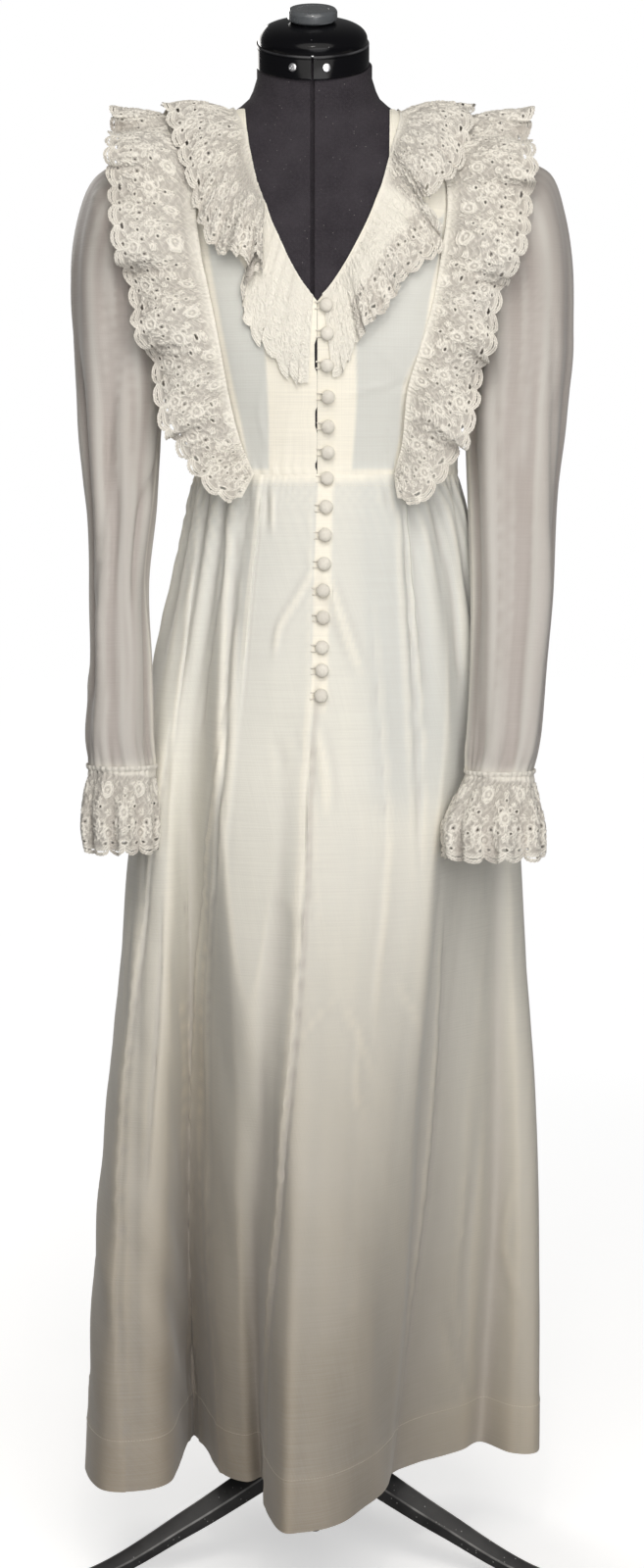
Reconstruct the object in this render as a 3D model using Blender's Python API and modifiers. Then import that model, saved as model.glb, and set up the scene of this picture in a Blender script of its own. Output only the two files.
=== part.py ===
"""A long-sleeved wedding dress with gathered lace, worn by a limbless dress form on a tripod stand.

Units are metres, +Z is up and the front faces -Y. The tables below are in millimetres, measured
from the form's upright axis at floor level: "fore" runs forward, and x runs to the wearer's left.
"""

import math
from collections import namedtuple

import bmesh
import bpy
import numpy as np
from mathutils import Matrix, Vector

MM = 0.001

# Driving sizes
SHAPE_NAME = "wedding_dress_on_form"
AXIS_Y = -0.0125
GAP = 0.0003
WAIST_GAP = 0.0008
SEAM_HALF = 0.0004
SEAM_TRIM = 0.00025
SEAM_PROBE = 0.01
CLOTH = 0.0012
LACE = 0.0010
SHOULDER_REST = 0.0009
RIDGE_REACH = 0.3
WAIST_Z = 1.165
HEM_Z = 0.112
V_POINT_Z = 1.342
REST_Z = 1.500
FRONT_EDGE_X = 0.0030
SHOULDER_TOP_Z = 1.5385
FORM_SLIT_X = -0.002
FORM_SLIT = 0.0025

# The form's horizontal sections, from the plate under the hips to the neck
Section = namedtuple("Section", "z half_width front back centre_x power")
FORM_SECTIONS = [
    Section(858, 146, 93, 103, 4, 2.3),
    Section(900, 156, 100, 115, 5, 2.3),
    Section(960, 161, 104, 121, 8, 2.3),
    Section(1030, 155, 102, 112, 10, 2.3),
    Section(1100, 142, 98, 96, 12, 2.3),
    Section(1165, 133, 95, 86, 12, 2.25),
    Section(1215, 137, 103, 90, 11, 2.3),
    Section(1265, 145, 114, 95, 10, 2.4),
    Section(1305, 151, 120, 98, 9, 2.45),
    Section(1342, 154, 118, 99, 8, 2.45),
    Section(1380, 158, 110, 100, 7, 2.4),
    Section(1420, 165, 99, 100, 6, 2.3),
    Section(1455, 173, 87, 98, 5, 2.2),
    Section(1480, 176, 76, 92, 4, 2.1),
    Section(1500, 163, 67, 84, 3, 2.0),
    Section(1517, 134, 60, 76, 2, 2.0),
    Section(1530, 106, 56, 70, 1, 2.0),
    Section(1541, 84, 54, 65, 0, 2.0),
    Section(1556, 67, 53, 61, 0, 2.0),
    Section(1575, 60, 52, 59, 0, 2.0),
]
FORM_BOTTOM_Z = FORM_SECTIONS[0].z * MM
FORM_TOP_Z = FORM_SECTIONS[-1].z * MM
FORM_LEVELS = [s.z for s in FORM_SECTIONS if s.z <= 1530] + [1538.5, 1547]
TORSO_COLUMNS = 17
PROBE_STEP = 0.002

# Heights of the rows of points in the bodice, and the columns in each of its pieces
BODICE_LEVELS = [
    1165, 1188, 1215, 1265, 1305, 1342, 1356, 1380,
    1420, 1455, 1478, 1490, 1500, 1517, 1530, 1538.5,
]
CENTRE_COLUMNS = 7
SIDE_COLUMNS = 6
BACK_COLUMNS = 19

# How far the bodice's inside stands off the form
Clearance = namedtuple("Clearance", "z out")
CLOTH_CLEARANCE = [
    Clearance(1165, 4.5),
    Clearance(1250, 3.6),
    Clearance(1360, 3.0),
    Clearance(1460, 3.0),
    Clearance(1490, 2.6),
    Clearance(1500, 1.6),
]

# Where the neckline and the seams run: x to each side at a height
Edge = namedtuple("Edge", "z right left")
NECKLINE = [
    Edge(1342, 0, 6),
    Edge(1360, 16, 20),
    Edge(1390, 33, 38),
    Edge(1437, 53, 60),
    Edge(1490, 66, 76),
    Edge(1541, 71, 77),
]
PRINCESS_SEAM = [
    Edge(1165, 66, 88),
    Edge(1250, 88, 92),
    Edge(1315, 100, 118),
    Edge(1380, 112, 130),
    Edge(1440, 118, 136),
    Edge(1500, 112, 122),
    Edge(1541, 77, 81),
]

# Armhole, seen from the side
ARMHOLE_Z = 1.4175
ARMHOLE_HALF_HEIGHT = 0.0725
ARMHOLE_HALF_DEPTH = 0.050

# Sleeve rings from the armhole down: the ring turns from upright (0) to level (90 degrees)
Ring = namedtuple("Ring", "x fore z turn half_width half_depth fold")
SLEEVE_RIGHT = [
    Ring(178, 1, 1418, 10, 76, 56, 1.5),
    Ring(191, 2, 1411, 28, 72, 61, 2.5),
    Ring(200, 4, 1388, 46, 61, 62, 2.5),
    Ring(205, 8, 1347, 62, 53, 58, 2.5),
    Ring(204, 14, 1300, 80, 46, 54, 3.0),
    Ring(200, 28, 1230, 90, 41, 49, 3.5),
    Ring(200, 48, 1140, 90, 33, 44, 4.0),
    Ring(203, 68, 1050, 90, 27, 42, 4.0),
    Ring(200, 88, 970, 90, 28, 40, 3.5),
    Ring(202, 106, 905, 90, 32, 37, 3.0),
    Ring(198, 116, 866, 90, 33, 31, 2.0),
]
SLEEVE_LEFT = [
    Ring(187, 1, 1418, 10, 77, 56, 1.5),
    Ring(206, 2, 1412, 28, 76, 62, 2.5),
    Ring(216, 4, 1388, 44, 64, 63, 2.5),
    Ring(220, 8, 1346, 63, 54, 59, 2.5),
    Ring(219, 14, 1298, 80, 49, 55, 3.0),
    Ring(211, 28, 1225, 90, 49, 50, 3.5),
    Ring(208, 52, 1130, 90, 43, 45, 4.0),
    Ring(207, 76, 1050, 90, 40, 43, 4.0),
    Ring(202, 100, 970, 90, 37, 41, 3.5),
    Ring(196, 120, 900, 90, 35, 38, 3.0),
    Ring(189, 132, 862, 90, 33, 32, 2.0),
]
SLEEVE_COLUMNS = 18
SLEEVE_FOLDS = 5
SLEEVE_FOLD_START = 0.9
SLEEVE_FOLD_TWIST = 0.12

# Lace cuffs: rings under each sleeve
Flare = namedtuple("Flare", "drop x fore half_width half_depth wave")
CUFF_RIGHT = [
    Flare(1.0, 198, 116, 33, 31, 0.5),
    Flare(46, 200, 121, 38, 40, 3.0),
    Flare(55, 200, 122, 38, 41, 3.5),
    Flare(84, 199, 124, 35, 41, 4.5),
]
CUFF_LEFT = [
    Flare(1.0, 189, 132, 33, 32, 0.5),
    Flare(44, 182, 157, 48, 41, 3.0),
    Flare(53, 181, 161, 50, 42, 3.5),
    Flare(82, 181, 167, 49, 42, 4.5),
]
CUFF_WAVES = 9
CUFF_WAVE_START = 0.4
CUFF_SCALLOPS = 10
CUFF_SEAM_TURN = 0.0143
CUFF_SCALLOP_RISE = 0.35

# Lace strips: where the seam edge and the free edge lie at each station, and how far it bows out
Station = namedtuple("Station", "seam_x seam_fore seam_z edge_x edge_fore edge_z bow")
NECK_LACE_RIGHT = [
    Station(-4, 122, 1342, -12, 128, 1254, 3),
    Station(-16, 121, 1360, -50, 122, 1284, 4),
    Station(-30, 116, 1385, -77, 112, 1318, 5),
    Station(-44, 108, 1412, -88, 112, 1352, 8),
    Station(-53, 101, 1437, -96, 115, 1376, 12),
    Station(-60, 90, 1468, -122, 103, 1412, 14),
    Station(-66, 75, 1494, -140, 85, 1458, 14),
    Station(-72, 46, 1522, -152, 58, 1508, 12),
    Station(-80, 8, 1538, -160, 14, 1541, 9),
    Station(-75, -30, 1536, -146, -66, 1528, 9),
    Station(-52, -64, 1535, -104, -118, 1492, 9),
    Station(-22, -78, 1534, -48, -132, 1468, 9),
    Station(-2, -80, 1534, -3, -134, 1462, 9),
]
NECK_LACE_LEFT = [
    Station(23, 122, 1346, 24, 130, 1262, 3),
    Station(30, 120, 1366, 46, 124, 1282, 4),
    Station(40, 114, 1386, 74, 118, 1316, 6),
    Station(50, 107, 1412, 92, 114, 1344, 9),
    Station(60, 99, 1437, 112, 112, 1374, 13),
    Station(68, 89, 1466, 134, 98, 1414, 14),
    Station(76, 74, 1492, 148, 80, 1462, 14),
    Station(81, 44, 1522, 162, 54, 1508, 12),
    Station(84, 8, 1538, 168, 12, 1541, 9),
    Station(78, -30, 1536, 150, -66, 1528, 9),
    Station(54, -64, 1535, 106, -118, 1492, 9),
    Station(24, -78, 1534, 50, -132, 1468, 9),
    Station(2, -80, 1534, 4, -134, 1462, 9),
]
NECK_LACE_WAVES = 8
NECK_LACE_SCALLOPS = 14

SHOULDER_LACE_RIGHT = [
    Station(-62, 100, 1166, -84, 112, 1138, 3),
    Station(-76, 103, 1200, -132, 104, 1170, 6),
    Station(-87, 106, 1245, -154, 92, 1222, 10),
    Station(-96, 107, 1295, -168, 84, 1280, 14),
    Station(-106, 101, 1345, -184, 80, 1334, 14),
    Station(-116, 92, 1392, -202, 80, 1392, 12),
    Station(-121, 80, 1440, -211, 76, 1446, 12),
    Station(-120, 60, 1484, -214, 58, 1490, 12),
    Station(-116, 30, 1512, -212, 26, 1518, 10),
    Station(-114, -6, 1524, -211, -8, 1524, 8),
    Station(-115, -50, 1506, -212, -48, 1506, 10),
    Station(-117, -84, 1466, -210, -84, 1464, 12),
    Station(-114, -101, 1415, -200, -93, 1402, 12),
    Station(-106, -106, 1350, -184, -92, 1336, 12),
    Station(-96, -107, 1290, -168, -92, 1276, 12),
    Station(-84, -103, 1230, -150, -90, 1214, 10),
    Station(-72, -97, 1166, -96, -104, 1138, 4),
]
SHOULDER_LACE_LEFT = [
    Station(82, 98, 1166, 96, 112, 1136, 3),
    Station(90, 102, 1200, 138, 106, 1160, 6),
    Station(94, 107, 1245, 158, 98, 1212, 10),
    Station(108, 105, 1295, 172, 88, 1268, 14),
    Station(122, 96, 1345, 186, 84, 1324, 14),
    Station(130, 88, 1392, 206, 82, 1376, 12),
    Station(136, 76, 1440, 222, 78, 1420, 12),
    Station(132, 58, 1484, 226, 60, 1480, 12),
    Station(124, 30, 1512, 226, 28, 1514, 10),
    Station(120, -6, 1524, 226, -8, 1524, 8),
    Station(121, -50, 1506, 224, -48, 1506, 10),
    Station(122, -84, 1466, 220, -84, 1464, 12),
    Station(118, -101, 1415, 208, -93, 1402, 12),
    Station(112, -106, 1350, 192, -92, 1336, 12),
    Station(104, -107, 1290, 176, -92, 1276, 12),
    Station(96, -103, 1230, 162, -90, 1214, 10),
    Station(88, -97, 1166, 110, -104, 1138, 4),
]
SHOULDER_LACE_WAVES = 13
SHOULDER_LACE_SCALLOPS = 22

LACE_ROWS = [0.0, 0.52, 0.65, 1.0]
HOLE_ROW = 1
SCALLOP_COLUMNS = [0.0, 0.30, 0.65]
SCALLOP_TRIM = 0.07
LACE_WAVE = 0.0075
LACE_LIFT = 0.0030
CHEST_Z = 1.30
CHECK_ABOVE = 0.012

# Skirt: each row is a crest or a valley, from the left side round the front to the back.
# waist and hull are angles round the waist and round the plain bell, x and fore are its place
# at the hem, and top is the height where it has faded out.
Fold = namedtuple("Fold", "waist hull x fore top")
SKIRT_FOLDS = [
    Fold(0, 0, 243, -20, 900),
    Fold(7, 8, 240, 32, 1080),
    Fold(15, 17, 214, 34, 1080),
    Fold(22, 27, 182, -2, 1120),
    Fold(30, 37, 158, 26, 1120),
    Fold(40, 48, 112, 62, 1060),
    Fold(49, 58, 82, 98, 900),
    Fold(56, 64, 74, 140, 760),
    Fold(66, 72, 42, 218, 800),
    Fold(77, 81, 14, 254, 860),
    Fold(88, 90, -13, 269, 900),
    Fold(96, 97, -33, 267, 900),
    Fold(104, 103, -48, 204, 760),
    Fold(110, 108, -54, 112, 640),
    Fold(116, 114, -72, 122, 700),
    Fold(123, 121, -98, 96, 900),
    Fold(130, 129, -120, 10, 1100),
    Fold(136, 134, -134, -24, 1120),
    Fold(142, 139, -143, 30, 1120),
    Fold(149, 145, -153, 124, 1100),
    Fold(157, 152, -186, 152, 1100),
    Fold(165, 161, -222, 146, 1060),
    Fold(172, 170, -243, 84, 1000),
    Fold(180, 180, -240, 10, 1060),
    Fold(188, 190, -252, -72, 1000),
    Fold(198, 202, -228, -150, 1060),
    Fold(209, 214, -170, -140, 1090),
    Fold(221, 226, -150, -196, 1060),
    Fold(234, 239, -96, -222, 1060),
    Fold(247, 251, -62, -176, 1090),
    Fold(259, 262, -26, -214, 1060),
    Fold(270, 272, 16, -232, 1060),
    Fold(282, 283, 52, -186, 1090),
    Fold(294, 295, 92, -224, 1060),
    Fold(308, 308, 140, -200, 1060),
    Fold(322, 321, 166, -138, 1090),
    Fold(335, 334, 214, -138, 1060),
    Fold(348, 347, 236, -84, 1000),
]
FOLD_SAMPLES = 2

# Skirt: the plain bell that the folds leave, level by level
Bell = namedtuple("Bell", "z half_width front back centre_x power")
SKIRT_BELL = [
    Bell(1164.2, 0, 0, 0, 12, 2.25),
    Bell(1110, 148, 115, 108, 13, 2.25),
    Bell(1050, 160, 128, 126, 12, 2.25),
    Bell(970, 179, 145, 144, 12, 2.2),
    Bell(880, 197, 163, 163, 11, 2.15),
    Bell(780, 208, 180, 180, 10, 2.1),
    Bell(650, 218, 198, 195, 8, 2.05),
    Bell(500, 232, 213, 207, 5, 2.0),
    Bell(320, 243, 226, 214, 0, 2.0),
    Bell(112, 249, 235, 218, -5, 2.0),
]
GATHER_DEPTH = 0.0030
GATHER_FADE_Z = 0.90
GATHER_FADE = 0.12
FRONT_FLAT = (58.0, 116.0)
HULL_TURN = 1.6
FOLD_FADE_POWER = 1.25

# Buttons and loops down the front edge
Button = namedtuple("Button", "z x")
BUTTONS = [
    Button(1334, 12), Button(1306, 13), Button(1276, 13), Button(1245, 14), Button(1215, 14),
    Button(1189, 14), Button(1160, 13), Button(1131, 12), Button(1103, 11), Button(1074, 10),
    Button(1047, 9), Button(1020, 9), Button(990, 8), Button(967, 8), Button(942, 7),
]
BUTTON_RADIUS = 0.0070
BUTTON_HEIGHT = 0.0062
BUTTON_SIDES = 8
LOOP_THICKNESS = 0.0010
LOOP_CORD = 0.0014
LOOP_REACH = 0.0095
LOOP_HALF = 0.0030
TAPE_WIDTH = 0.0030
TAPE_TRIM = 0.0004
TAPE_END = 0.010
FRONT_LINES = (60.0, 120.0)

# Stand
BAND_TILT = math.radians(22.0)
NECK_BEND_Z = 1.5620
NECK_BEND_LEAN = 0.6
BAND_Z = 1.6005
BAND_HEIGHT = 0.0245
BAND_RADIUS = 0.0590
BAND_DEPTH_RADIUS = 0.0560
BAND_ROUND = 0.002
BAND_COLUMNS = 12
CAP_RADIUS = 0.055
CAP_HEIGHT = 0.022
CAP_SIDES = 16
KNOB_RADIUS = 0.0245
KNOB_HEIGHT = 0.013
SCREW_RADIUS = 0.0045
SCREW_HEIGHT = 0.0022
SCREW_PROUD = 0.0006
SCREW_PLACES = {"neck_screw_right": -0.022, "neck_screw_left": 0.0125}
PLATE_THICKNESS = 0.010
PLATE_SCALE = 0.96
PLATE_SIDES = 24
STAND_SIDES = 12
POLE_RADIUS = 0.0125
POLE_FOOT_RADIUS = 0.0050
POLE_BOTTOM_Z = 0.012
HUB_RADIUS = 0.024
HUB_TOP_Z = 0.150
HUB_BOTTOM_Z = 0.088
LEG_ANGLES = {"leg_front_left": -30.0, "leg_front_right": -150.0, "leg_back": 90.0}
LEG_FOOT_RADIUS = 0.290
LEG_START_GAP = 0.0012
FOOT_RADIUS = 0.014
FOOT_HEIGHT = 0.009
FOOT_ROUND = 0.002

# A leg's sections from the hub out, in metres: distance from the axis, half width, lower and upper height
LegSection = namedtuple("LegSection", "radius half_width low high")
LEG_SECTIONS = [
    LegSection(HUB_RADIUS * math.cos(math.pi / STAND_SIDES) + LEG_START_GAP, 0.0160, 0.0920, 0.1280),
    LegSection(0.160, 0.0135, 0.0405, 0.0660),
    LegSection(LEG_FOOT_RADIUS - 0.018, 0.0110, FOOT_HEIGHT + GAP, 0.0235),
    LegSection(LEG_FOOT_RADIUS + 0.014, 0.0105, FOOT_HEIGHT + GAP, 0.0190),
]

# Finishes: colour, roughness, metallic
Finish = namedtuple("Finish", "colour roughness metallic")
FINISHES = {
    "voile": Finish((0.80, 0.77, 0.70), 0.75, 0.0),
    "lace": Finish((0.78, 0.74, 0.66), 0.80, 0.0),
    "button_cloth": Finish((0.82, 0.78, 0.68), 0.55, 0.0),
    "form_knit": Finish((0.075, 0.065, 0.075), 0.95, 0.0),
    "black_plastic": Finish((0.012, 0.012, 0.013), 0.15, 0.0),
    "knob_plastic": Finish((0.05, 0.05, 0.055), 0.25, 0.0),
    "screw_steel": Finish((0.62, 0.62, 0.64), 0.25, 1.0),
    "stand_plastic": Finish((0.018, 0.018, 0.020), 0.40, 0.0),
    "foot_rubber": Finish((0.02, 0.02, 0.02), 0.90, 0.0),
}


def make_material(name):
    """Make the Principled material of one named finish."""
    finish = FINISHES[name]
    material = bpy.data.materials.new(name)
    material.use_nodes = True
    shader = material.node_tree.nodes["Principled BSDF"]
    shader.inputs["Base Color"].default_value = (*finish.colour, 1.0)
    shader.inputs["Roughness"].default_value = finish.roughness
    shader.inputs["Metallic"].default_value = finish.metallic
    return material


def place(x, fore, z):
    """Turn a place measured from the form's axis into the part's own frame."""
    return Vector((x, AXIS_Y - fore, z))


def add_object(kit, name, mesh, finish):
    """Put a mesh into the part's collection under its node name."""
    obj = bpy.data.objects.new(name, mesh)
    mesh.materials.append(kit["materials"][finish])
    kit["collection"].objects.link(obj)
    return obj


def smooth_value(height, heights, values):
    """Read a smooth curve through table values at a height, without overshoot."""
    heights = np.asarray(heights, float)
    values = np.asarray(values, float)
    height = min(max(height, heights[0]), heights[-1])
    steps = np.diff(heights)
    slopes = np.diff(values) / steps
    tangents = np.concatenate([[slopes[0]], np.zeros(len(values) - 2), [slopes[-1]]])
    for i in range(1, len(values) - 1):
        if slopes[i - 1] * slopes[i] > 0:
            tangents[i] = 2.0 * slopes[i - 1] * slopes[i] / (slopes[i - 1] + slopes[i])
    i = min(int(np.searchsorted(heights, height, side="right")) - 1, len(steps) - 1)
    t = (height - heights[i]) / steps[i]
    start = (2 * t**3 - 3 * t**2 + 1) * values[i] + (t**3 - 2 * t**2 + t) * steps[i] * tangents[i]
    end = (-2 * t**3 + 3 * t**2) * values[i + 1] + (t**3 - t**2) * steps[i] * tangents[i + 1]
    return float(start + end)


def section_at(z):
    """The form's section at a height in metres: half width, front, back, centre and power."""
    heights = [s.z * MM for s in FORM_SECTIONS]
    columns = zip(*[s[1:] for s in FORM_SECTIONS])
    half_width, front, back, centre, power = (smooth_value(z, heights, c) for c in columns)
    return half_width * MM, front * MM, back * MM, centre * MM, power


def form_point(z, angle, out=0.0):
    """A point on the form at a height and an angle (0 is the left side, 90 the front)."""
    half_width, front, back, centre, power = section_at(z)
    c, s = math.cos(angle), math.sin(angle)
    depth = front if s >= 0 else back
    x = centre + half_width * math.copysign(abs(c) ** (2.0 / power), c)
    fore = depth * math.copysign(abs(s) ** (2.0 / power), s)
    if out == 0.0:
        return Vector((x, fore, z))
    return Vector((x, fore, z)) + form_normal(z, x, fore) * out


def form_value(x, fore, z):
    """Below one inside the form, above one outside it."""
    half_width, front, back, centre, power = section_at(z)
    depth = front if fore >= 0 else back
    return (abs((x - centre) / half_width) ** power + abs(fore / depth) ** power) ** (1.0 / power)


def form_normal(z, x, fore):
    """The outward direction of the form's surface at a point on it."""
    step = PROBE_STEP
    low, high = max(z - step, FORM_BOTTOM_Z), min(z + step, FORM_TOP_Z)
    slope_x = form_value(x + step, fore, z) - form_value(x - step, fore, z)
    slope_fore = form_value(x, fore + step, z) - form_value(x, fore - step, z)
    slope_z = (form_value(x, fore, high) - form_value(x, fore, low)) * 2 * step / (high - low)
    return Vector((slope_x, slope_fore, slope_z)).normalized()


def angle_at_x(z, x):
    """The angle on the front of the form where its surface has this x."""
    half_width, _, _, centre, power = section_at(z)
    ratio = (x - centre) / half_width
    return math.acos(math.copysign(min(abs(ratio), 1.0) ** (power / 2.0), ratio))


def angle_at_fore(z, fore):
    """The angle off the side of the form where its surface has this fore distance."""
    _, front, back, _, power = section_at(z)
    depth = front if fore >= 0 else back
    return math.asin(math.copysign(min(abs(fore / depth), 1.0) ** (power / 2.0), fore))


def edge_x(table, z, side):
    """The x of a seam or neckline at a height, on the wearer's left (1) or right (-1)."""
    column = [e.left if side > 0 else -e.right for e in table]
    return smooth_value(z, [e.z * MM for e in table], column) * MM


def cloth_clearance(z):
    """How far the bodice's inside stands off the form."""
    return smooth_value(z, [c.z * MM for c in CLOTH_CLEARANCE], [c.out for c in CLOTH_CLEARANCE]) * MM


def link_faces(rows, closed, holes=()):
    """Two triangles for each cell of a grid, leaving out the cells that are holes."""
    count = len(rows[0])
    faces = []
    for r in range(len(rows) - 1):
        for c in range(count if closed else count - 1):
            if (r, c) in holes:
                continue
            d = (c + 1) % count
            a, b = r * count + c, r * count + d
            e, f = (r + 1) * count + c, (r + 1) * count + d
            faces.append((a, b, f))
            faces.append((a, f, e))
    return faces


def sheet(kit, name, rows, finish, wall, closed=False, holes=(), flip=False):
    """A cloth wall: a grid of points on its inside, thickened outwards."""
    faces = link_faces(rows, closed, holes)
    if flip:
        faces = [tuple(reversed(face)) for face in faces]
    mesh = bpy.data.meshes.new(name)
    mesh.from_pydata([place(*p) for row in rows for p in row], [], faces)
    scratch = bmesh.new()
    scratch.from_mesh(mesh)
    loose = [v for v in scratch.verts if not v.link_faces]
    bmesh.ops.delete(scratch, geom=loose, context="VERTS")
    scratch.to_mesh(mesh)
    scratch.free()
    obj = add_object(kit, name, mesh, finish)
    solid = obj.modifiers.new("cloth_wall", "SOLIDIFY")
    solid.thickness = wall
    solid.offset = 1.0
    mesh.shade_smooth()
    return obj


def solid_loft(kit, name, rings, finish):
    """A closed solid through rings of the same count, with flat ends."""
    count = len(rings[0])
    faces = []
    for r in range(len(rings) - 1):
        for c in range(count):
            d = (c + 1) % count
            faces.append((r * count + c, r * count + d, (r + 1) * count + d, (r + 1) * count + c))
    faces.append(tuple(reversed(range(count))))
    faces.append(tuple(range((len(rings) - 1) * count, len(rings) * count)))
    mesh = bpy.data.meshes.new(name)
    mesh.from_pydata([place(*p) for ring in rings for p in ring], [], faces)
    scratch = bmesh.new()
    scratch.from_mesh(mesh)
    bmesh.ops.recalc_face_normals(scratch, faces=scratch.faces)
    scratch.to_mesh(mesh)
    scratch.free()
    return add_object(kit, name, mesh, finish)


def turned(kit, name, profile, sides, finish, matrix, ring=False):
    """A turned solid: a profile of radius and height, from its outer top down, spun round."""
    mesh = bpy.data.meshes.new(name)
    edges = [(i, i + 1) for i in range(len(profile) - 1)]
    if ring:
        edges.append((len(profile) - 1, 0))
    mesh.from_pydata([(r, 0.0, h) for r, h in profile], edges, [])
    obj = add_object(kit, name, mesh, finish)
    screw = obj.modifiers.new("turn", "SCREW")
    screw.steps = sides
    screw.render_steps = sides
    screw.use_merge_vertices = True
    screw.merge_threshold = 0.00001
    obj.matrix_world = matrix
    return obj


# Dress form


def leaning_z(fore, level, lean=1.0):
    """Height on a plane that leans forward, as the neck band does when lean is one."""
    return level - fore * math.tan(BAND_TILT) * lean


def half_angles(z, side, count):
    """Angles round one half of the form, from the back slit to the front slit."""
    half_width, _, _, centre, power = section_at(z)
    slit = FORM_SLIT_X + side * FORM_SLIT / 2.0
    ratio = (slit - centre) / half_width
    start = math.acos(math.copysign(abs(ratio) ** (power / 2.0), ratio))
    if side > 0:
        return np.linspace(-start, start, count)
    return np.linspace(start, 2 * math.pi - start, count)


def build_torso(kit):
    """The two halves of the knit-covered torso, with the adjusting slit between them."""
    for name, side in (("torso_right", -1), ("torso_left", 1)):
        rings = []
        for level in FORM_LEVELS:
            z = level * MM
            rings.append([form_point(z, a) for a in half_angles(z, side, TORSO_COLUMNS)])
        for level, lean in ((NECK_BEND_Z, NECK_BEND_LEAN), (BAND_Z - BAND_HEIGHT / 2 - GAP, 1.0)):
            angles = half_angles(level, side, TORSO_COLUMNS)
            ring = [form_point(min(level, FORM_TOP_Z), a) for a in angles]
            rings.append([Vector((p.x, p.y, leaning_z(p.y, level, lean))) for p in ring])
        solid_loft(kit, name, rings, "form_knit")


def band_matrix(level):
    """The tilted frame of the neck band and what stands on it."""
    centre = place(0.0, 0.0, level)
    return Matrix.Translation(centre) @ Matrix.Rotation(BAND_TILT, 4, "X")


def build_neck(kit):
    """The glossy split band round the neck, its screws, the domed cap and the knob."""
    low = BAND_Z - BAND_HEIGHT / 2
    high = BAND_Z + BAND_HEIGHT / 2
    for name, side in (("neck_band_right", -1), ("neck_band_left", 1)):
        rings = []
        slit = FORM_SLIT_X + side * FORM_SLIT / 2.0
        inset = BAND_ROUND / 2
        for level, inward in ((low, inset), (low + BAND_ROUND, 0.0), (high - BAND_ROUND, 0.0), (high, inset)):
            ring = []
            for a in np.linspace(-math.pi / 2, math.pi / 2, BAND_COLUMNS):
                x = slit + side * (BAND_RADIUS - inward - FORM_SLIT / 2.0) * math.cos(a)
                fore = (BAND_DEPTH_RADIUS - inward) * math.sin(a)
                ring.append(Vector((x, fore, leaning_z(fore, level))))
            rings.append(ring)
        solid_loft(kit, name, rings, "black_plastic")
    head = [
        (0.0, SCREW_HEIGHT),
        (SCREW_RADIUS * 0.67, SCREW_HEIGHT * 0.9),
        (SCREW_RADIUS, SCREW_HEIGHT * 0.45),
        (SCREW_RADIUS, 0.0),
        (0.0, 0.0),
    ]
    for name, x in SCREW_PLACES.items():
        fore = BAND_DEPTH_RADIUS * math.sqrt(1 - ((x - FORM_SLIT_X) / BAND_RADIUS) ** 2) + SCREW_PROUD
        spot = Matrix.Translation(place(x, fore, leaning_z(fore, BAND_Z)))
        facing = Matrix.Rotation(math.asin(x / BAND_RADIUS), 4, "Z") @ Matrix.Rotation(math.pi / 2, 4, "X")
        turned(kit, name, head, BUTTON_SIDES, "screw_steel", spot @ facing)
    base = (high - BAND_Z + GAP) * math.cos(BAND_TILT)
    dome = [(0.0, CAP_HEIGHT)]
    for t in np.radians([70, 50, 30, 10]):
        dome.append((CAP_RADIUS * math.cos(t) ** 0.6, CAP_HEIGHT * (0.2 + 0.8 * math.sin(t))))
    dome += [(CAP_RADIUS, 0.0), (0.0, 0.0)]
    cap_matrix = band_matrix(BAND_Z) @ Matrix.Translation((0, 0, base))
    turned(kit, "neck_cap", dome, CAP_SIDES, "black_plastic", cap_matrix)
    knob = [
        (0.0, KNOB_HEIGHT),
        (KNOB_RADIUS - 0.003, KNOB_HEIGHT),
        (KNOB_RADIUS, KNOB_HEIGHT - 0.003),
        (KNOB_RADIUS, 0.002),
        (KNOB_RADIUS - 0.003, 0.0),
        (0.0, 0.0),
    ]
    knob_matrix = cap_matrix @ Matrix.Translation((0, 0, CAP_HEIGHT + GAP))
    turned(kit, "neck_knob", knob, STAND_SIDES, "knob_plastic", knob_matrix)


def build_stand(kit):
    """Plate under the torso, pole, hub, three legs and their rubber feet."""
    plate_top = FORM_BOTTOM_Z - GAP
    plate_bottom = plate_top - PLATE_THICKNESS
    angles = np.linspace(0, 2 * math.pi, PLATE_SIDES, endpoint=False)
    plate = [form_point(FORM_BOTTOM_Z, a) * PLATE_SCALE for a in angles]
    rings = [[Vector((p.x, p.y, z)) for p in plate] for z in (plate_bottom, plate_top)]
    solid_loft(kit, "torso_plate", rings, "stand_plastic")
    pole_top = plate_bottom - GAP
    pole = [
        (0.0, pole_top),
        (POLE_RADIUS, pole_top),
        (POLE_RADIUS, HUB_TOP_Z + GAP),
        (POLE_FOOT_RADIUS, HUB_TOP_Z + GAP),
        (POLE_FOOT_RADIUS, POLE_BOTTOM_Z),
        (0.0, POLE_BOTTOM_Z),
    ]
    axis = Matrix.Translation(place(0, 0, 0))
    turned(kit, "pole", pole, STAND_SIDES, "stand_plastic", axis)
    bore = POLE_FOOT_RADIUS + GAP
    hub = [
        (HUB_RADIUS - 0.006, HUB_TOP_Z),
        (HUB_RADIUS, HUB_TOP_Z - 0.010),
        (HUB_RADIUS, HUB_BOTTOM_Z),
        (bore, HUB_BOTTOM_Z),
        (bore, HUB_TOP_Z),
    ]
    turned(kit, "tripod_hub", hub, STAND_SIDES, "stand_plastic", axis, ring=True)
    for name, degrees in LEG_ANGLES.items():
        build_leg(kit, name, math.radians(degrees))


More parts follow.
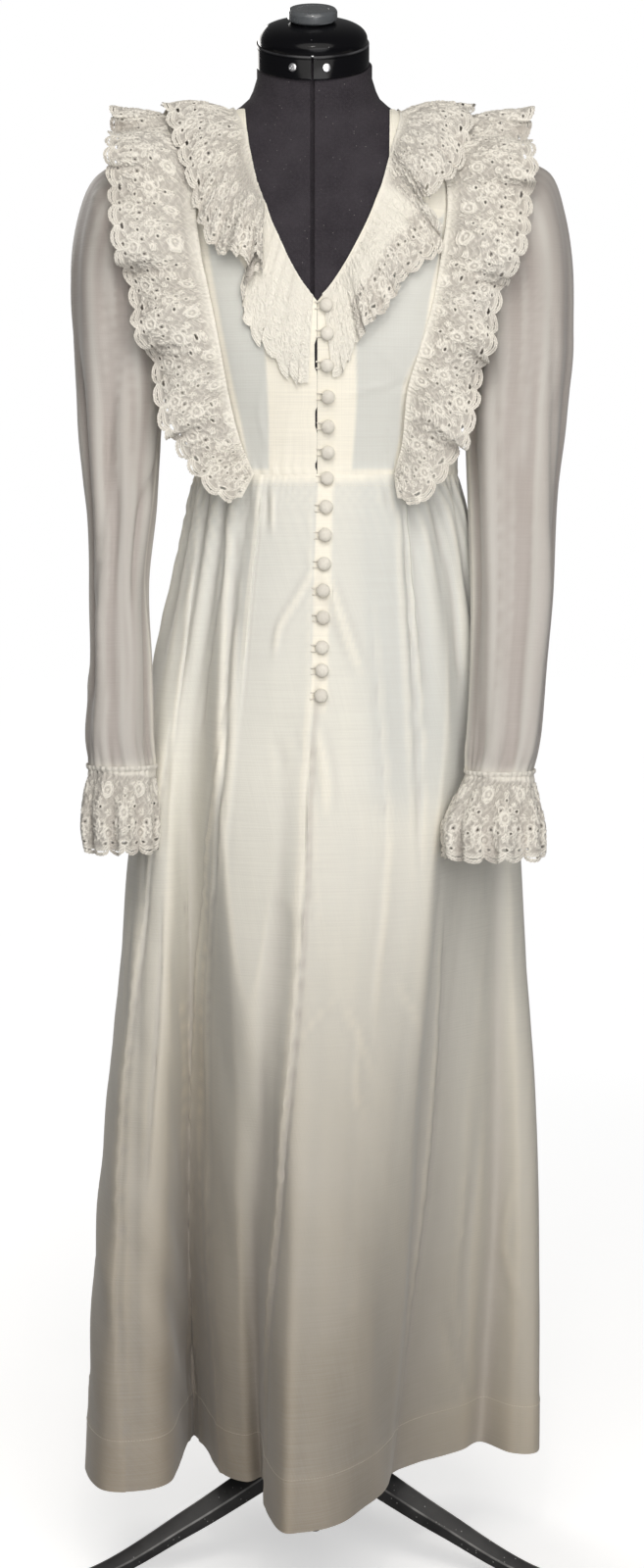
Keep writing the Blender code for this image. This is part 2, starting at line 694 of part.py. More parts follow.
def build_leg(kit, name, angle):
    """One tapering ridged leg from the hub to its foot, which stands flat on the floor."""
    along = Vector((math.cos(angle), -math.sin(angle), 0.0))
    across = Vector((math.sin(angle), math.cos(angle), 0.0))
    rings = []
    for radius, half_width, low, high in LEG_SECTIONS:
        middle = (low + high) / 2
        ring = []
        for side, height in ((-1, low), (1, low), (1, middle), (0, high), (-1, middle)):
            p = along * radius + across * (side * half_width)
            ring.append(Vector((p.x, p.y, height)))
        rings.append(ring)
    solid_loft(kit, name, rings, "stand_plastic")
    foot = [
        (0.0, FOOT_HEIGHT),
        (FOOT_RADIUS - FOOT_ROUND, FOOT_HEIGHT),
        (FOOT_RADIUS, FOOT_ROUND),
        (FOOT_RADIUS, 0.0),
        (0.0, 0.0),
    ]
    spot = along * LEG_FOOT_RADIUS
    matrix = Matrix.Translation(place(spot.x, spot.y, 0))
    turned(kit, name.replace("leg", "foot"), foot, STAND_SIDES, "foot_rubber", matrix)


# Bodice


def armhole_fore(z):
    """Half depth of the armhole at a height, or zero above and below it."""
    ratio = (z - ARMHOLE_Z) / ARMHOLE_HALF_HEIGHT
    return ARMHOLE_HALF_DEPTH * math.sqrt(max(0.0, 1.0 - ratio**2))


def bodice_row(z, start, end, columns):
    """Points on the bodice's inside between two angles at a height; it rests on the shoulder ridge."""
    points = []
    for angle in np.linspace(start, end, columns):
        ridge = max(0.0, 1.0 - abs(math.sin(angle)) / RIDGE_REACH) if z >= REST_Z else 0.0
        points.append(form_point(z, angle, cloth_clearance(z) - SHOULDER_REST * ridge))
    return points


def seam_trim(z, angle, towards):
    """Move an angle along the section by half a seam gap."""
    turn = towards * SEAM_PROBE
    reach = (form_point(z, angle + turn) - form_point(z, angle)).length
    return angle + turn * SEAM_TRIM / reach


def front_angles(z, side):
    """Angles of the centre edge, the princess seam and the side edge of the front at a height."""
    if z <= V_POINT_Z:
        centre = angle_at_x(z, FRONT_EDGE_X)
    else:
        centre = angle_at_x(z, edge_x(NECKLINE, z, side))
    princess = angle_at_x(z, edge_x(PRINCESS_SEAM, z, side))
    arm = angle_at_fore(z, armhole_fore(z))
    if side < 0:
        arm = math.pi - arm
    return centre, princess, arm


def build_bodice(kit):
    """Centre fronts, side fronts and back, a seam gap apart."""
    for word, side in (("right", -1), ("left", 1)):
        centre_rows, side_rows = [], []
        for level in BODICE_LEVELS:
            z = level * MM
            centre, princess, arm = front_angles(z, side)
            first = seam_trim(z, centre, -side)
            centre_rows.append(bodice_row(z, first, seam_trim(z, princess, side), CENTRE_COLUMNS))
            start, end = seam_trim(z, princess, -side), seam_trim(z, arm, side)
            side_rows.append(bodice_row(z, start, end, SIDE_COLUMNS))
        sheet(kit, f"bodice_front_{word}", centre_rows, "voile", CLOTH, flip=side < 0)
        sheet(kit, f"bodice_side_{word}", side_rows, "voile", CLOTH, flip=side < 0)
    back_rows = []
    for level in BODICE_LEVELS:
        z = level * MM
        arm = angle_at_fore(z, armhole_fore(z))
        back_arm = -angle_at_fore(z, -armhole_fore(z))
        start = seam_trim(z, math.pi + back_arm, 1)
        end = seam_trim(z, 2 * math.pi - back_arm, -1)
        back_rows.append(bodice_row(z, start, end, BACK_COLUMNS))
    sheet(kit, "bodice_back", back_rows, "voile", CLOTH, flip=True)


# Sleeves and cuffs


def armhole_ring(side, columns):
    """The armhole's edge on the form's side, moved out to lie on the bodice."""
    ring = []
    for k in range(columns):
        turn = 2 * math.pi * k / columns
        z = ARMHOLE_Z + ARMHOLE_HALF_HEIGHT * math.cos(turn)
        fore = ARMHOLE_HALF_DEPTH * math.sin(turn)
        angle = angle_at_fore(z, fore)
        if side < 0:
            angle = math.pi - angle
        ring.append(form_point(z, angle, cloth_clearance(z) + CLOTH + 3 * GAP))
    return ring


def sleeve_ring(ring, side, columns, index):
    """One ring of the sleeve, with its soft lengthwise folds."""
    turn = math.radians(ring.turn)
    centre = Vector((side * ring.x, ring.fore, ring.z)) * MM
    outward = Vector((side * math.sin(turn), 0.0, math.cos(turn)))
    forward = Vector((0.0, 1.0, 0.0))
    points = []
    for k in range(columns):
        a = 2 * math.pi * k / columns
        fold = ring.fold * MM * math.cos(SLEEVE_FOLDS * a + SLEEVE_FOLD_START + SLEEVE_FOLD_TWIST * index)
        reach = outward * math.cos(a) * (ring.half_width * MM + fold)
        points.append(centre + reach + forward * math.sin(a) * (ring.half_depth * MM + fold))
    return points


def build_sleeves(kit):
    """Long sleeves with gathered caps, open at the armhole and at the wrist."""
    for word, side, table in (("right", -1, SLEEVE_RIGHT), ("left", 1, SLEEVE_LEFT)):
        start = armhole_ring(side, SLEEVE_COLUMNS)
        rows = [start] + [sleeve_ring(r, side, SLEEVE_COLUMNS, i) for i, r in enumerate(table)]
        sheet(kit, f"sleeve_{word}", rows, "voile", CLOTH, closed=True, flip=side < 0)


def cuff_ring(flare, side, top_z, angles):
    """One ring of a gathered cuff."""
    points = []
    for a in angles:
        wave = flare.wave * MM * math.cos(CUFF_WAVES * a + CUFF_WAVE_START)
        x = side * flare.x * MM + (flare.half_width * MM + wave) * math.cos(a)
        fore = flare.fore * MM + (flare.half_depth * MM + wave) * math.sin(a)
        points.append(Vector((x, fore, top_z - flare.drop * MM)))
    return points


def scallop_fractions(scallops):
    """Where the columns of a lace edge lie along it, three to a scallop."""
    return [(s + c) / scallops for s in range(scallops) for c in SCALLOP_COLUMNS]


def build_cuffs(kit):
    """Each cuff in a front and a back half, with the gaps of its lace cut through."""
    for word, side, table, sleeve in (
        ("right", -1, CUFF_RIGHT, SLEEVE_RIGHT),
        ("left", 1, CUFF_LEFT, SLEEVE_LEFT),
    ):
        top_z = sleeve[-1].z * MM
        for half, start in (("front", 0.0), ("back", math.pi)):
            fractions = scallop_fractions(CUFF_SCALLOPS // 2) + [1.0]
            angles = [start + CUFF_SEAM_TURN + (math.pi - 2 * CUFF_SEAM_TURN) * f for f in fractions]
            rows = [cuff_ring(flare, side, top_z, angles) for flare in table]
            for c in range(2, len(angles), 3):
                rows[-1][c] = rows[-1][c].lerp(rows[-2][c], CUFF_SCALLOP_RISE)
            holes = {(HOLE_ROW, c) for c in range(0, len(angles) - 1, 3)}
            sheet(kit, f"cuff_{word}_{half}", rows, "lace", LACE, holes=holes)


# Lace strips


def stand_off_form(point, out, exact=False):
    """Move a point straight off the form until it stands this far out, or exactly this far."""
    if not WAIST_Z <= point.z < SHOULDER_TOP_Z + CHECK_ABOVE:
        return point
    for _ in range(2):
        normal = form_normal(point.z, point.x, point.y)
        probe = point - normal * PROBE_STEP / 2
        slope = (form_value(*point) - form_value(*probe)) / (PROBE_STEP / 2)
        short = out - (form_value(*point) - 1.0) / slope
        if short > 0 or exact:
            point = point + normal * short
    return point


def spline_rows(table, fractions):
    """Smooth values of every column of a table at fractions of its length."""
    keys = list(range(len(table)))
    columns = list(zip(*table))
    return [
        [smooth_value(f * (len(table) - 1), keys, column) for column in columns]
        for f in fractions
    ]


def lace_rows(table, waves, scallops):
    """Rows of points from the seam edge to the scalloped free edge, with growing waves."""
    fractions = scallop_fractions(scallops) + [1.0]
    stations = [Station(*row) for row in spline_rows(table, fractions)]
    seams = [Vector((s.seam_x, s.seam_fore, s.seam_z)) * MM for s in stations]
    edges = [Vector((s.edge_x, s.edge_fore, s.edge_z)) * MM for s in stations]
    rows = [[] for _ in LACE_ROWS]
    for i, (seam, edge) in enumerate(zip(seams, edges)):
        before, after = seams[max(i - 1, 0)], seams[min(i + 1, len(seams) - 1)]
        middle = (seam + edge) / 2
        out = (after - before).cross(edge - seam).normalized()
        if out.dot(middle - Vector((0.0, 0.0, CHEST_Z))) < 0:
            out = -out
        wave = LACE_WAVE * math.sin(2 * math.pi * waves * fractions[i])
        trim = SCALLOP_TRIM * (1.0 if i % 3 == 2 else 0.0)
        for row, w in zip(rows, LACE_ROWS):
            reach = w - trim * (w == 1.0)
            lift = stations[i].bow * MM * math.sin(math.pi * min(w, 0.9)) + (wave + LACE_WAVE) * w**1.3
            point = seam.lerp(edge, reach) + out * lift
            skin = cloth_clearance(point.z) + CLOTH + 2 * GAP + w * LACE_LIFT
            row.append(stand_off_form(point, skin, exact=w == 0.0))
    return rows


def build_lace(kit):
    """Neck lace over shoulder lace, on each side."""
    for name, table, waves, scallops, flip in (
        ("neck_lace_right", NECK_LACE_RIGHT, NECK_LACE_WAVES, NECK_LACE_SCALLOPS, False),
        ("neck_lace_left", NECK_LACE_LEFT, NECK_LACE_WAVES, NECK_LACE_SCALLOPS, True),
        ("shoulder_lace_right", SHOULDER_LACE_RIGHT, SHOULDER_LACE_WAVES, SHOULDER_LACE_SCALLOPS, False),
        ("shoulder_lace_left", SHOULDER_LACE_LEFT, SHOULDER_LACE_WAVES, SHOULDER_LACE_SCALLOPS, True),
    ):
        rows = lace_rows(table, waves, scallops)
        holes = {(HOLE_ROW, c) for c in range(0, len(rows[0]) - 1, 3)}
        sheet(kit, name, rows, "lace", LACE, holes=holes, flip=flip)


# Skirt


def bell_point(bell, angle, rim):
    """A point of the plain bell; its top ring is the bodice's lower edge."""
    if bell.half_width == 0:
        return rim
    c, s = math.cos(angle), math.sin(angle)
    depth = bell.front if s >= 0 else bell.back
    across = math.copysign(abs(c) ** (2.0 / bell.power), c)
    along = math.copysign(abs(s) ** (2.0 / bell.power), s)
    return Vector((bell.centre_x + bell.half_width * across, depth * along, bell.z)) * MM


def fold_columns():
    """Angles, hem places and fade heights between the table's folds, as smooth closed curves."""
    rows = [list(fold) for fold in SKIRT_FOLDS]
    count = len(rows)
    columns = []
    for i in range(count):
        around = [list(rows[(i + k) % count]) for k in (-1, 0, 1, 2)]
        for k, shift in enumerate((-1, 0, 1, 2)):
            turns = (i + shift) // count
            around[k][0] += 360.0 * turns
            around[k][1] += 360.0 * turns
        p0, p1, p2, p3 = (np.array(r, float) for r in around)
        for k in range(FOLD_SAMPLES):
            t = k / FOLD_SAMPLES
            bend = (2 * p0 - 5 * p1 + 4 * p2 - p3) * t**2 + (3 * p1 - p0 - 3 * p2 + p3) * t**3
            columns.append(Fold(*(0.5 * (2 * p1 + (p2 - p0) * t + bend))))
    return columns


def skirt_column(fold, index):
    """One line of the skirt from the waist to the hem."""
    waist, hull = math.radians(fold.waist), math.radians(fold.hull)
    rim = form_point(WAIST_Z, waist, cloth_clearance(WAIST_Z))
    rim.z = WAIST_Z - WAIST_GAP
    hem_bell = bell_point(SKIRT_BELL[-1], hull, rim)
    hem = Vector((fold.x * MM, fold.fore * MM, hem_bell.z))
    out = Vector((math.cos(waist), math.sin(waist), 0.0))
    points = []
    for bell in SKIRT_BELL:
        z = bell.z * MM
        down = (WAIST_Z - z) / (WAIST_Z - HEM_Z)
        angle = waist + (hull - waist) * min(1.0, down * HULL_TURN)
        fade = min(max((fold.top * MM - z) / (fold.top * MM - HEM_Z), 0.0), 1.0)
        point = bell_point(bell, angle, rim) + (hem - hem_bell) * fade**FOLD_FADE_POWER
        gather = 0.0
        if not FRONT_FLAT[0] < fold.waist < FRONT_FLAT[1] and bell.half_width > 0:
            gather = GATHER_DEPTH * min(1.0, max(0.0, (z - GATHER_FADE_Z) / GATHER_FADE))
        point += out * gather * math.cos(index * math.pi / 2)
        points.append(Vector((point.x, point.y, z)))
    return points


def build_skirt(kit):
    """Four gores, a seam gap apart, from the waist to the hem."""
    columns = fold_columns()
    lines = [skirt_column(fold, i) for i, fold in enumerate(columns)]
    seams = [nearest_column(columns, angle) for angle in (0, 90, 180, 270)]
    names = ["skirt_front_left", "skirt_front_right", "skirt_back_right", "skirt_back_left"]
    for name, start, end in zip(names, seams, seams[1:] + [seams[0] + len(lines)]):
        part = [list(lines[i % len(lines)]) for i in range(start, end + 1)]
        part[0] = seam_line(part[0], part[1])
        part[-1] = seam_line(part[-1], part[-2])
        sheet(kit, name, list(zip(*part)), "voile", CLOTH)


def nearest_column(columns, angle):
    """The column whose place on the bell is nearest an angle."""
    return min(range(len(columns)), key=lambda i: abs(columns[i].hull % 360 - angle))


def seam_line(line, inner):
    """Pull a gore's edge back by half a seam gap."""
    moved = []
    for here, there in zip(line, inner):
        towards = there - here
        moved.append(here + towards.normalized() * SEAM_HALF)
    return moved


# Buttons and loops


def bodice_surface(x, z):
    """A point on the outside of the bodice's front, and the direction it faces."""
    point = form_point(z, angle_at_x(z, x), cloth_clearance(z) + CLOTH)
    return point, form_normal(z, point.x, point.y)


def skirt_surface(lines, x, z):
    """A point on the outside of the skirt's front, and the direction it faces."""
    for first, second in zip(lines, lines[1:]):
        a, b = line_at(first, z), line_at(second, z)
        if min(a.x, b.x) <= x <= max(a.x, b.x):
            break
    up = line_at(first, z + PROBE_STEP) - line_at(first, z - PROBE_STEP)
    normal = up.cross(b - a).normalized()
    if normal.y < 0:
        normal = -normal
    return a.lerp(b, (x - a.x) / (b.x - a.x)) + normal * CLOTH, normal


def front_surface(lines, x, z):
    """A point on the outside of the dress's front, and the direction it faces."""
    return bodice_surface(x, z) if z >= WAIST_Z else skirt_surface(lines, x, z)


def front_lines():
    """The skirt's lines round the middle of the front."""
    low, high = FRONT_LINES
    return [skirt_column(fold, i) for i, fold in enumerate(fold_columns()) if low < fold.hull < high]


def line_at(line, z):
    """The point of a skirt line at a height."""
    for upper, lower in zip(line, line[1:]):
        if lower.z <= z <= upper.z:
            return lower.lerp(upper, (z - lower.z) / (upper.z - lower.z))
    return line[0] + (line[0] - line[1]) * (z - line[0].z) / (line[0].z - line[1].z)


def build_buttons(kit, lines):
    """Fifteen covered buttons, each standing off the loops on its shank."""
    profile = [
        (0.0, BUTTON_HEIGHT),
        (BUTTON_RADIUS * 0.55, BUTTON_HEIGHT * 0.86),
        (BUTTON_RADIUS, BUTTON_HEIGHT * 0.42),
        (BUTTON_RADIUS * 0.80, 0.0),
        (0.0, 0.0),
    ]
    lift = LOOP_THICKNESS + 2 * GAP
    for number, button in enumerate(BUTTONS, start=1):
        spot, normal = front_surface(lines, button.x * MM, button.z * MM)
        facing = Vector((normal.x, -normal.y, normal.z))
        turn = facing.to_track_quat("Z", "Y").to_matrix().to_4x4()
        matrix = Matrix.Translation(place(*(spot + normal * lift))) @ turn
        turned(kit, f"button_{number:02d}", profile, BUTTON_SIDES, "button_cloth", matrix)


def build_loops(kit, lines):
    """The tape along the right front edge with its fifteen loops, as one piece."""
    spots, faces = [], []

    def add(x, z):
        point, normal = front_surface(lines, x, z)
        spots.append(place(*(point + normal * GAP)))
        return len(spots) - 1

    def pair(z):
        return add(FRONT_EDGE_X - TAPE_WIDTH, z), add(FRONT_EDGE_X - TAPE_TRIM, z)

    previous = pair(BUTTONS[0].z * MM + TAPE_END)
    for button in BUTTONS:
        z, reach = button.z * MM, FRONT_EDGE_X + LOOP_REACH
        levels = [z + LOOP_HALF + LOOP_CORD, z + LOOP_HALF, z - LOOP_HALF, z - LOOP_HALF - LOOP_CORD]
        pairs = [pair(level) for level in levels]
        for upper, lower in zip([previous] + pairs, pairs):
            faces.append((upper[0], lower[0], lower[1], upper[1]))
        outer = [add(reach + LOOP_CORD, z + side * LOOP_HALF * 0.6) for side in (1, -1)]
        inner = [add(reach, z + side * LOOP_HALF * 0.4) for side in (1, -1)]
        faces.append((pairs[0][1], pairs[1][1], inner[0], outer[0]))
        faces.append((outer[0], inner[0], inner[1], outer[1]))
        faces.append((outer[1], inner[1], pairs[2][1], pairs[3][1]))
        previous = pairs[-1]
    last = pair(BUTTONS[-1].z * MM - TAPE_END)
    faces.append((previous[0], last[0], last[1], previous[1]))
    mesh = bpy.data.meshes.new("button_loops")
    mesh.from_pydata(spots, [], faces)
    obj = add_object(kit, "button_loops", mesh, "button_cloth")
    solid = obj.modifiers.new("cord", "SOLIDIFY")
    solid.thickness = LOOP_THICKNESS
    solid.offset = 1.0


def main():
    """Clear the scene and build every piece."""
    for obj in list(bpy.data.objects):
        bpy.data.objects.remove(obj, do_unlink=True)
    collection = bpy.data.collections.new(SHAPE_NAME)
    bpy.context.scene.collection.children.link(collection)
    kit = {"collection": collection, "materials": {name: make_material(name) for name in FINISHES}}
    lines = front_lines()
    build_torso(kit)
    build_neck(kit)
    build_stand(kit)
    build_bodice(kit)
    build_sleeves(kit)
    build_cuffs(kit)
    build_lace(kit)
    build_skirt(kit)
    build_buttons(kit, lines)
    build_loops(kit, lines)


main()
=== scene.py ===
"""The looks of a long-sleeved wedding dress with gathered lace, worn by a limbless dress form.

Sizes in metres, +Z up, the front faces -Y. The tables are in millimetres, measured from the
form's upright axis at floor level: "fore" runs forward, and x runs to the wearer's left.
"""

import logging
import math
from dataclasses import dataclass, field
from enum import Enum
from typing import Sequence

import bpy
import numpy as np
from mathutils import Matrix, Vector


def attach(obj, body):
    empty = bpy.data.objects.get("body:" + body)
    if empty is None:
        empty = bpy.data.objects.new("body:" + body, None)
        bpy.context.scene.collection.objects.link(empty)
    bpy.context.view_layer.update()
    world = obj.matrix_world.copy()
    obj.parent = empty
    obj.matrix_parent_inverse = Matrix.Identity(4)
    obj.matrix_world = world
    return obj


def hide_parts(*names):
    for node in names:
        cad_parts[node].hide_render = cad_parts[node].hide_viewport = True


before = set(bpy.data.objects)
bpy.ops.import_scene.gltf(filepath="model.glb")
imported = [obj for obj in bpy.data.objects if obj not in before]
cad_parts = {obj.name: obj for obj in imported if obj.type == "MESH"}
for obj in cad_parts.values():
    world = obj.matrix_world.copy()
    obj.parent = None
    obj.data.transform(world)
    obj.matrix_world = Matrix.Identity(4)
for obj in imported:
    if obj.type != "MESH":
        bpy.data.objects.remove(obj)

LOG = logging.getLogger("wedding_dress")
BODY = "root"
MM = 0.001
TURN = 2 * math.pi
Array = np.ndarray
Socket = bpy.types.NodeSocket

# The form's axis, and heights of the dress: the waist, the hem, the V's point, the shoulder's rest
AXIS_Y = -0.0125
WAIST_Z = 1.165
HEM_Z = 0.112
V_POINT_Z = 1.342
REST_Z = 1.500
# The middle of the chest, from which the lace faces away
CHEST_Z = 1.30
# The slit between the form's halves, the gap between solids and the front edge of the dress
FORM_SLIT_X = -0.002
FORM_SLIT = 0.0025
GAP = 0.0003
FRONT_EDGE_X = 0.0030
# The cloth's wall, and the room from the bodice's inside to what lies over it
CLOTH = 0.0008
CLOTH_ROOM = 0.0018
# The radius that turns a short distance round the bodice into an angle
BODICE_RADIUS = 0.12
# The armhole's middle height, half height and half depth
ARMHOLE = (1.4175, 0.0725, 0.050)
# How wide the last column of a closed sheet is in its UVs
UV_STEP = 0.003

# The form's sections: z, half width, front, back, centre x and power
FORM_SECTIONS = (
    (858, 146, 93, 103, 4, 2.3), (900, 156, 100, 115, 5, 2.3), (960, 161, 104, 121, 8, 2.3),
    (1030, 155, 102, 112, 10, 2.3), (1100, 142, 98, 96, 12, 2.3), (1165, 133, 95, 86, 12, 2.25),
    (1215, 137, 103, 90, 11, 2.3), (1265, 145, 114, 95, 10, 2.4), (1305, 151, 120, 98, 9, 2.45),
    (1342, 154, 118, 99, 8, 2.45), (1380, 158, 110, 100, 7, 2.4), (1420, 165, 99, 100, 6, 2.3),
    (1455, 173, 87, 98, 5, 2.2), (1480, 176, 76, 92, 4, 2.1), (1500, 163, 67, 84, 3, 2),
    (1517, 134, 60, 76, 2, 2), (1530, 106, 56, 70, 1, 2), (1541, 84, 54, 65, 0, 2), (1556, 67, 53, 61, 0, 2),
    (1575, 60, 52, 59, 0, 2),
)
# How far the bodice stands off the form: z, distance
CLOTH_CLEARANCE = (
    (1165, 4.5), (1250, 3.6), (1360, 3), (1460, 3), (1490, 2.6), (1500, 1.6),
)
# The neckline: z, then x on the right and on the left
NECKLINE = (
    (1342, 0, 6), (1360, 16, 20), (1390, 33, 38), (1437, 53, 60), (1490, 66, 76), (1541, 71, 77),
)
# The princess seams: z, then x on the right and on the left
PRINCESS_SEAM = (
    (1165, 66, 88), (1250, 88, 92), (1315, 100, 118), (1380, 112, 130), (1440, 118, 136), (1500, 112, 122),
    (1541, 77, 81),
)
# Sleeve rings: x, fore, z, turn, half width, half depth, fold
SLEEVE_RIGHT = (
    (178, 1, 1418, 10, 76, 56, 1.5), (191, 2, 1411, 28, 72, 61, 2.5), (200, 4, 1388, 46, 61, 62, 2.5),
    (205, 8, 1347, 62, 53, 58, 2.5), (204, 14, 1300, 80, 46, 54, 3), (200, 28, 1230, 90, 41, 49, 3.5),
    (200, 48, 1140, 90, 33, 44, 4), (203, 68, 1050, 90, 27, 42, 4), (200, 88, 970, 90, 28, 40, 3.5),
    (202, 106, 905, 90, 32, 37, 3), (198, 116, 866, 90, 33, 31, 2),
)
SLEEVE_LEFT = (
    (187, 1, 1418, 10, 77, 56, 1.5), (206, 2, 1412, 28, 76, 62, 2.5), (216, 4, 1388, 44, 64, 63, 2.5),
    (220, 8, 1346, 63, 54, 59, 2.5), (219, 14, 1298, 80, 49, 55, 3), (211, 28, 1225, 90, 49, 50, 3.5),
    (208, 52, 1130, 90, 43, 45, 4), (207, 76, 1050, 90, 40, 43, 4), (202, 100, 970, 90, 37, 41, 3.5),
    (196, 120, 900, 90, 35, 38, 3), (189, 132, 862, 90, 33, 32, 2),
)
# Cuff rings: drop, x, fore, half width, half depth, wave
CUFF_RIGHT = (
    (1, 198, 116, 33, 31, 0.5), (46, 200, 121, 38, 40, 3), (55, 200, 122, 38, 41, 3.5),
    (84, 199, 124, 35, 41, 4.5),
)
CUFF_LEFT = (
    (1, 189, 132, 33, 32, 0.5), (44, 182, 157, 48, 41, 3), (53, 181, 161, 50, 42, 3.5),
    (82, 181, 167, 49, 42, 4.5),
)
# Lace stations: seam x, fore, z, free edge x, fore, z and bow. The neck frills fold over themselves.
NECK_LACE_RIGHT = (
    (-1, 123, 1344, -5, 117, 1252, 1), (-13, 119, 1360, -25, 117, 1260, 1),
    (-25, 114, 1381, -45, 119, 1285, 1), (-36, 106, 1405, -61, 117, 1301, 1),
    (-44, 100, 1423, -71, 115, 1325, 1), (-49, 95, 1438, -73, 115, 1344, 1),
    (-52, 92, 1444, -54, 123, 1368, 4), (-54, 90, 1449, -56, 125, 1376, 8),
    (-58, 85, 1461, -74, 123, 1378, 10), (-62, 78, 1477, -91, 113, 1383, 9),
    (-64, 73, 1487, -109, 99, 1400, 9), (-67, 65, 1501, -121, 88, 1432, 11),
    (-69, 57, 1515, -135, 72, 1475, 12), (-74, 36, 1526, -150, 52, 1514, 12),
    (-80, 8, 1538, -160, 14, 1541, 9), (-75, -30, 1536, -146, -64, 1522, 9),
    (-52, -64, 1535, -104, -108, 1486, 9), (-22, -78, 1534, -48, -119, 1462, 9),
    (-2, -80, 1534, -3, -121, 1458, 9),
)
NECK_LACE_LEFT = (
    (8, 122, 1346, 19, 118, 1258, 1), (16, 120, 1354, 35, 121, 1277, 1), (25, 118, 1365, 44, 124, 1297, 1),
    (30, 116, 1373, 51, 133, 1305, 4), (36, 113, 1383, 61, 136, 1316, 7), (45, 108, 1399, 80, 128, 1336, 7),
    (55, 102, 1419, 94, 117, 1362, 6), (63, 93, 1441, 118, 100, 1378, 5), (70, 83, 1464, 131, 87, 1399, 4),
    (74, 76, 1479, 119, 87, 1425, 3), (77, 70, 1490, 109, 92, 1442, 6), (80, 64, 1501, 118, 97, 1443, 10),
    (84, 54, 1515, 138, 82, 1458, 11), (86, 38, 1526, 156, 62, 1488, 12), (84, 8, 1538, 168, 12, 1541, 9),
    (78, -30, 1536, 150, -64, 1522, 9), (54, -64, 1535, 106, -108, 1486, 9),
    (24, -78, 1534, 50, -119, 1462, 9), (2, -80, 1534, 4, -121, 1458, 9),
)
# How far up each neck frill lies flat on the cream facing, as shares: wholly, then near the seam only
NECK_FLAT_RIGHT = (0.27, 0.27)
NECK_FLAT_LEFT = (0.14, 0.46)
# Shoulder lace stations, from the front waist to the back waist
SHOULDER_LACE_RIGHT = (
    (-62, 100, 1166, -84, 112, 1138, 3), (-76, 103, 1200, -132, 104, 1170, 6),
    (-87, 106, 1245, -154, 92, 1222, 10), (-96, 107, 1295, -168, 84, 1280, 14),
    (-106, 101, 1345, -184, 80, 1334, 14), (-116, 92, 1392, -202, 80, 1392, 12),
    (-121, 80, 1440, -211, 76, 1446, 12), (-120, 60, 1484, -214, 58, 1490, 12),
    (-116, 30, 1512, -212, 26, 1518, 10), (-114, -6, 1524, -211, -8, 1524, 8),
    (-115, -50, 1506, -212, -48, 1506, 10), (-117, -84, 1466, -210, -84, 1464, 12),
    (-114, -101, 1415, -200, -93, 1402, 12), (-106, -106, 1350, -184, -92, 1336, 12),
    (-96, -107, 1290, -168, -92, 1276, 12), (-84, -103, 1230, -150, -90, 1214, 10),
    (-72, -97, 1166, -96, -104, 1138, 4),
)
SHOULDER_LACE_LEFT = (
    (82, 98, 1166, 96, 112, 1136, 3), (90, 102, 1200, 138, 106, 1160, 6), (94, 107, 1245, 158, 98, 1212, 10),
    (108, 105, 1295, 172, 88, 1268, 14), (122, 96, 1345, 186, 84, 1324, 14),
    (130, 88, 1392, 206, 82, 1376, 12), (136, 76, 1440, 222, 78, 1420, 12),
    (132, 58, 1484, 226, 60, 1480, 12), (124, 30, 1512, 226, 28, 1514, 10), (120, -6, 1524, 226, -8, 1524, 8),
    (121, -50, 1506, 224, -48, 1506, 10), (122, -84, 1466, 220, -84, 1464, 12),
    (118, -101, 1415, 208, -93, 1402, 12), (112, -106, 1350, 192, -92, 1336, 12),
    (104, -107, 1290, 176, -92, 1276, 12), (96, -103, 1230, 162, -90, 1214, 10),
    (88, -97, 1166, 110, -104, 1138, 4),
)
# Skirt crests and valleys: waist angle, hull angle, hem x, hem fore, height of the top
SKIRT_FOLDS = (
    (0, 0, 243, -20, 900), (7, 8, 240, 32, 1080), (15, 17, 214, 34, 1080), (22, 27, 182, -2, 1120),
    (30, 37, 158, 26, 1120), (40, 48, 112, 62, 1060), (49, 58, 82, 98, 900), (56, 64, 74, 140, 760),
    (66, 72, 42, 218, 800), (77, 81, 14, 254, 860), (88, 90, -13, 269, 900), (96, 97, -33, 267, 900),
    (104, 103, -48, 204, 760), (110, 108, -54, 112, 640), (116, 114, -72, 122, 700), (123, 121, -98, 96, 900),
    (130, 129, -120, 10, 1100), (136, 134, -134, -24, 1120), (142, 139, -143, 30, 1120),
    (149, 145, -153, 124, 1100), (157, 152, -186, 152, 1100), (165, 161, -222, 146, 1060),
    (172, 170, -243, 84, 1000), (180, 180, -240, 10, 1060), (188, 190, -252, -72, 1000),
    (198, 202, -228, -150, 1060), (209, 214, -170, -140, 1090), (221, 226, -150, -196, 1060),
    (234, 239, -96, -222, 1060), (247, 251, -62, -176, 1090), (259, 262, -26, -214, 1060),
    (270, 272, 16, -232, 1060), (282, 283, 52, -186, 1090), (294, 295, 92, -224, 1060),
    (308, 308, 140, -200, 1060), (322, 321, 166, -138, 1090), (335, 334, 214, -138, 1060),
    (348, 347, 236, -84, 1000),
)
# The plain bell under the folds: z, half width, front, back, centre x and power
SKIRT_BELL = (
    (1164.2, 137.5, 99.5, 90.5, 12, 2.25), (1110, 148, 115, 108, 13, 2.25), (1050, 160, 128, 126, 12, 2.25),
    (970, 179, 145, 144, 12, 2.2), (880, 197, 163, 163, 11, 2.15), (780, 208, 180, 180, 10, 2.1),
    (650, 218, 198, 195, 8, 2.05), (500, 232, 213, 207, 5, 2), (320, 243, 226, 214, 0, 2),
    (112, 249, 235, 218, -5, 2),
)
# Buttons down the front edge: z, x
BUTTONS = (
    (1334, 12), (1306, 13), (1276, 13), (1245, 14), (1215, 14), (1189, 14), (1160, 13), (1131, 12),
    (1103, 11), (1074, 10), (1047, 9), (1020, 9), (990, 8), (967, 8), (942, 7),
)
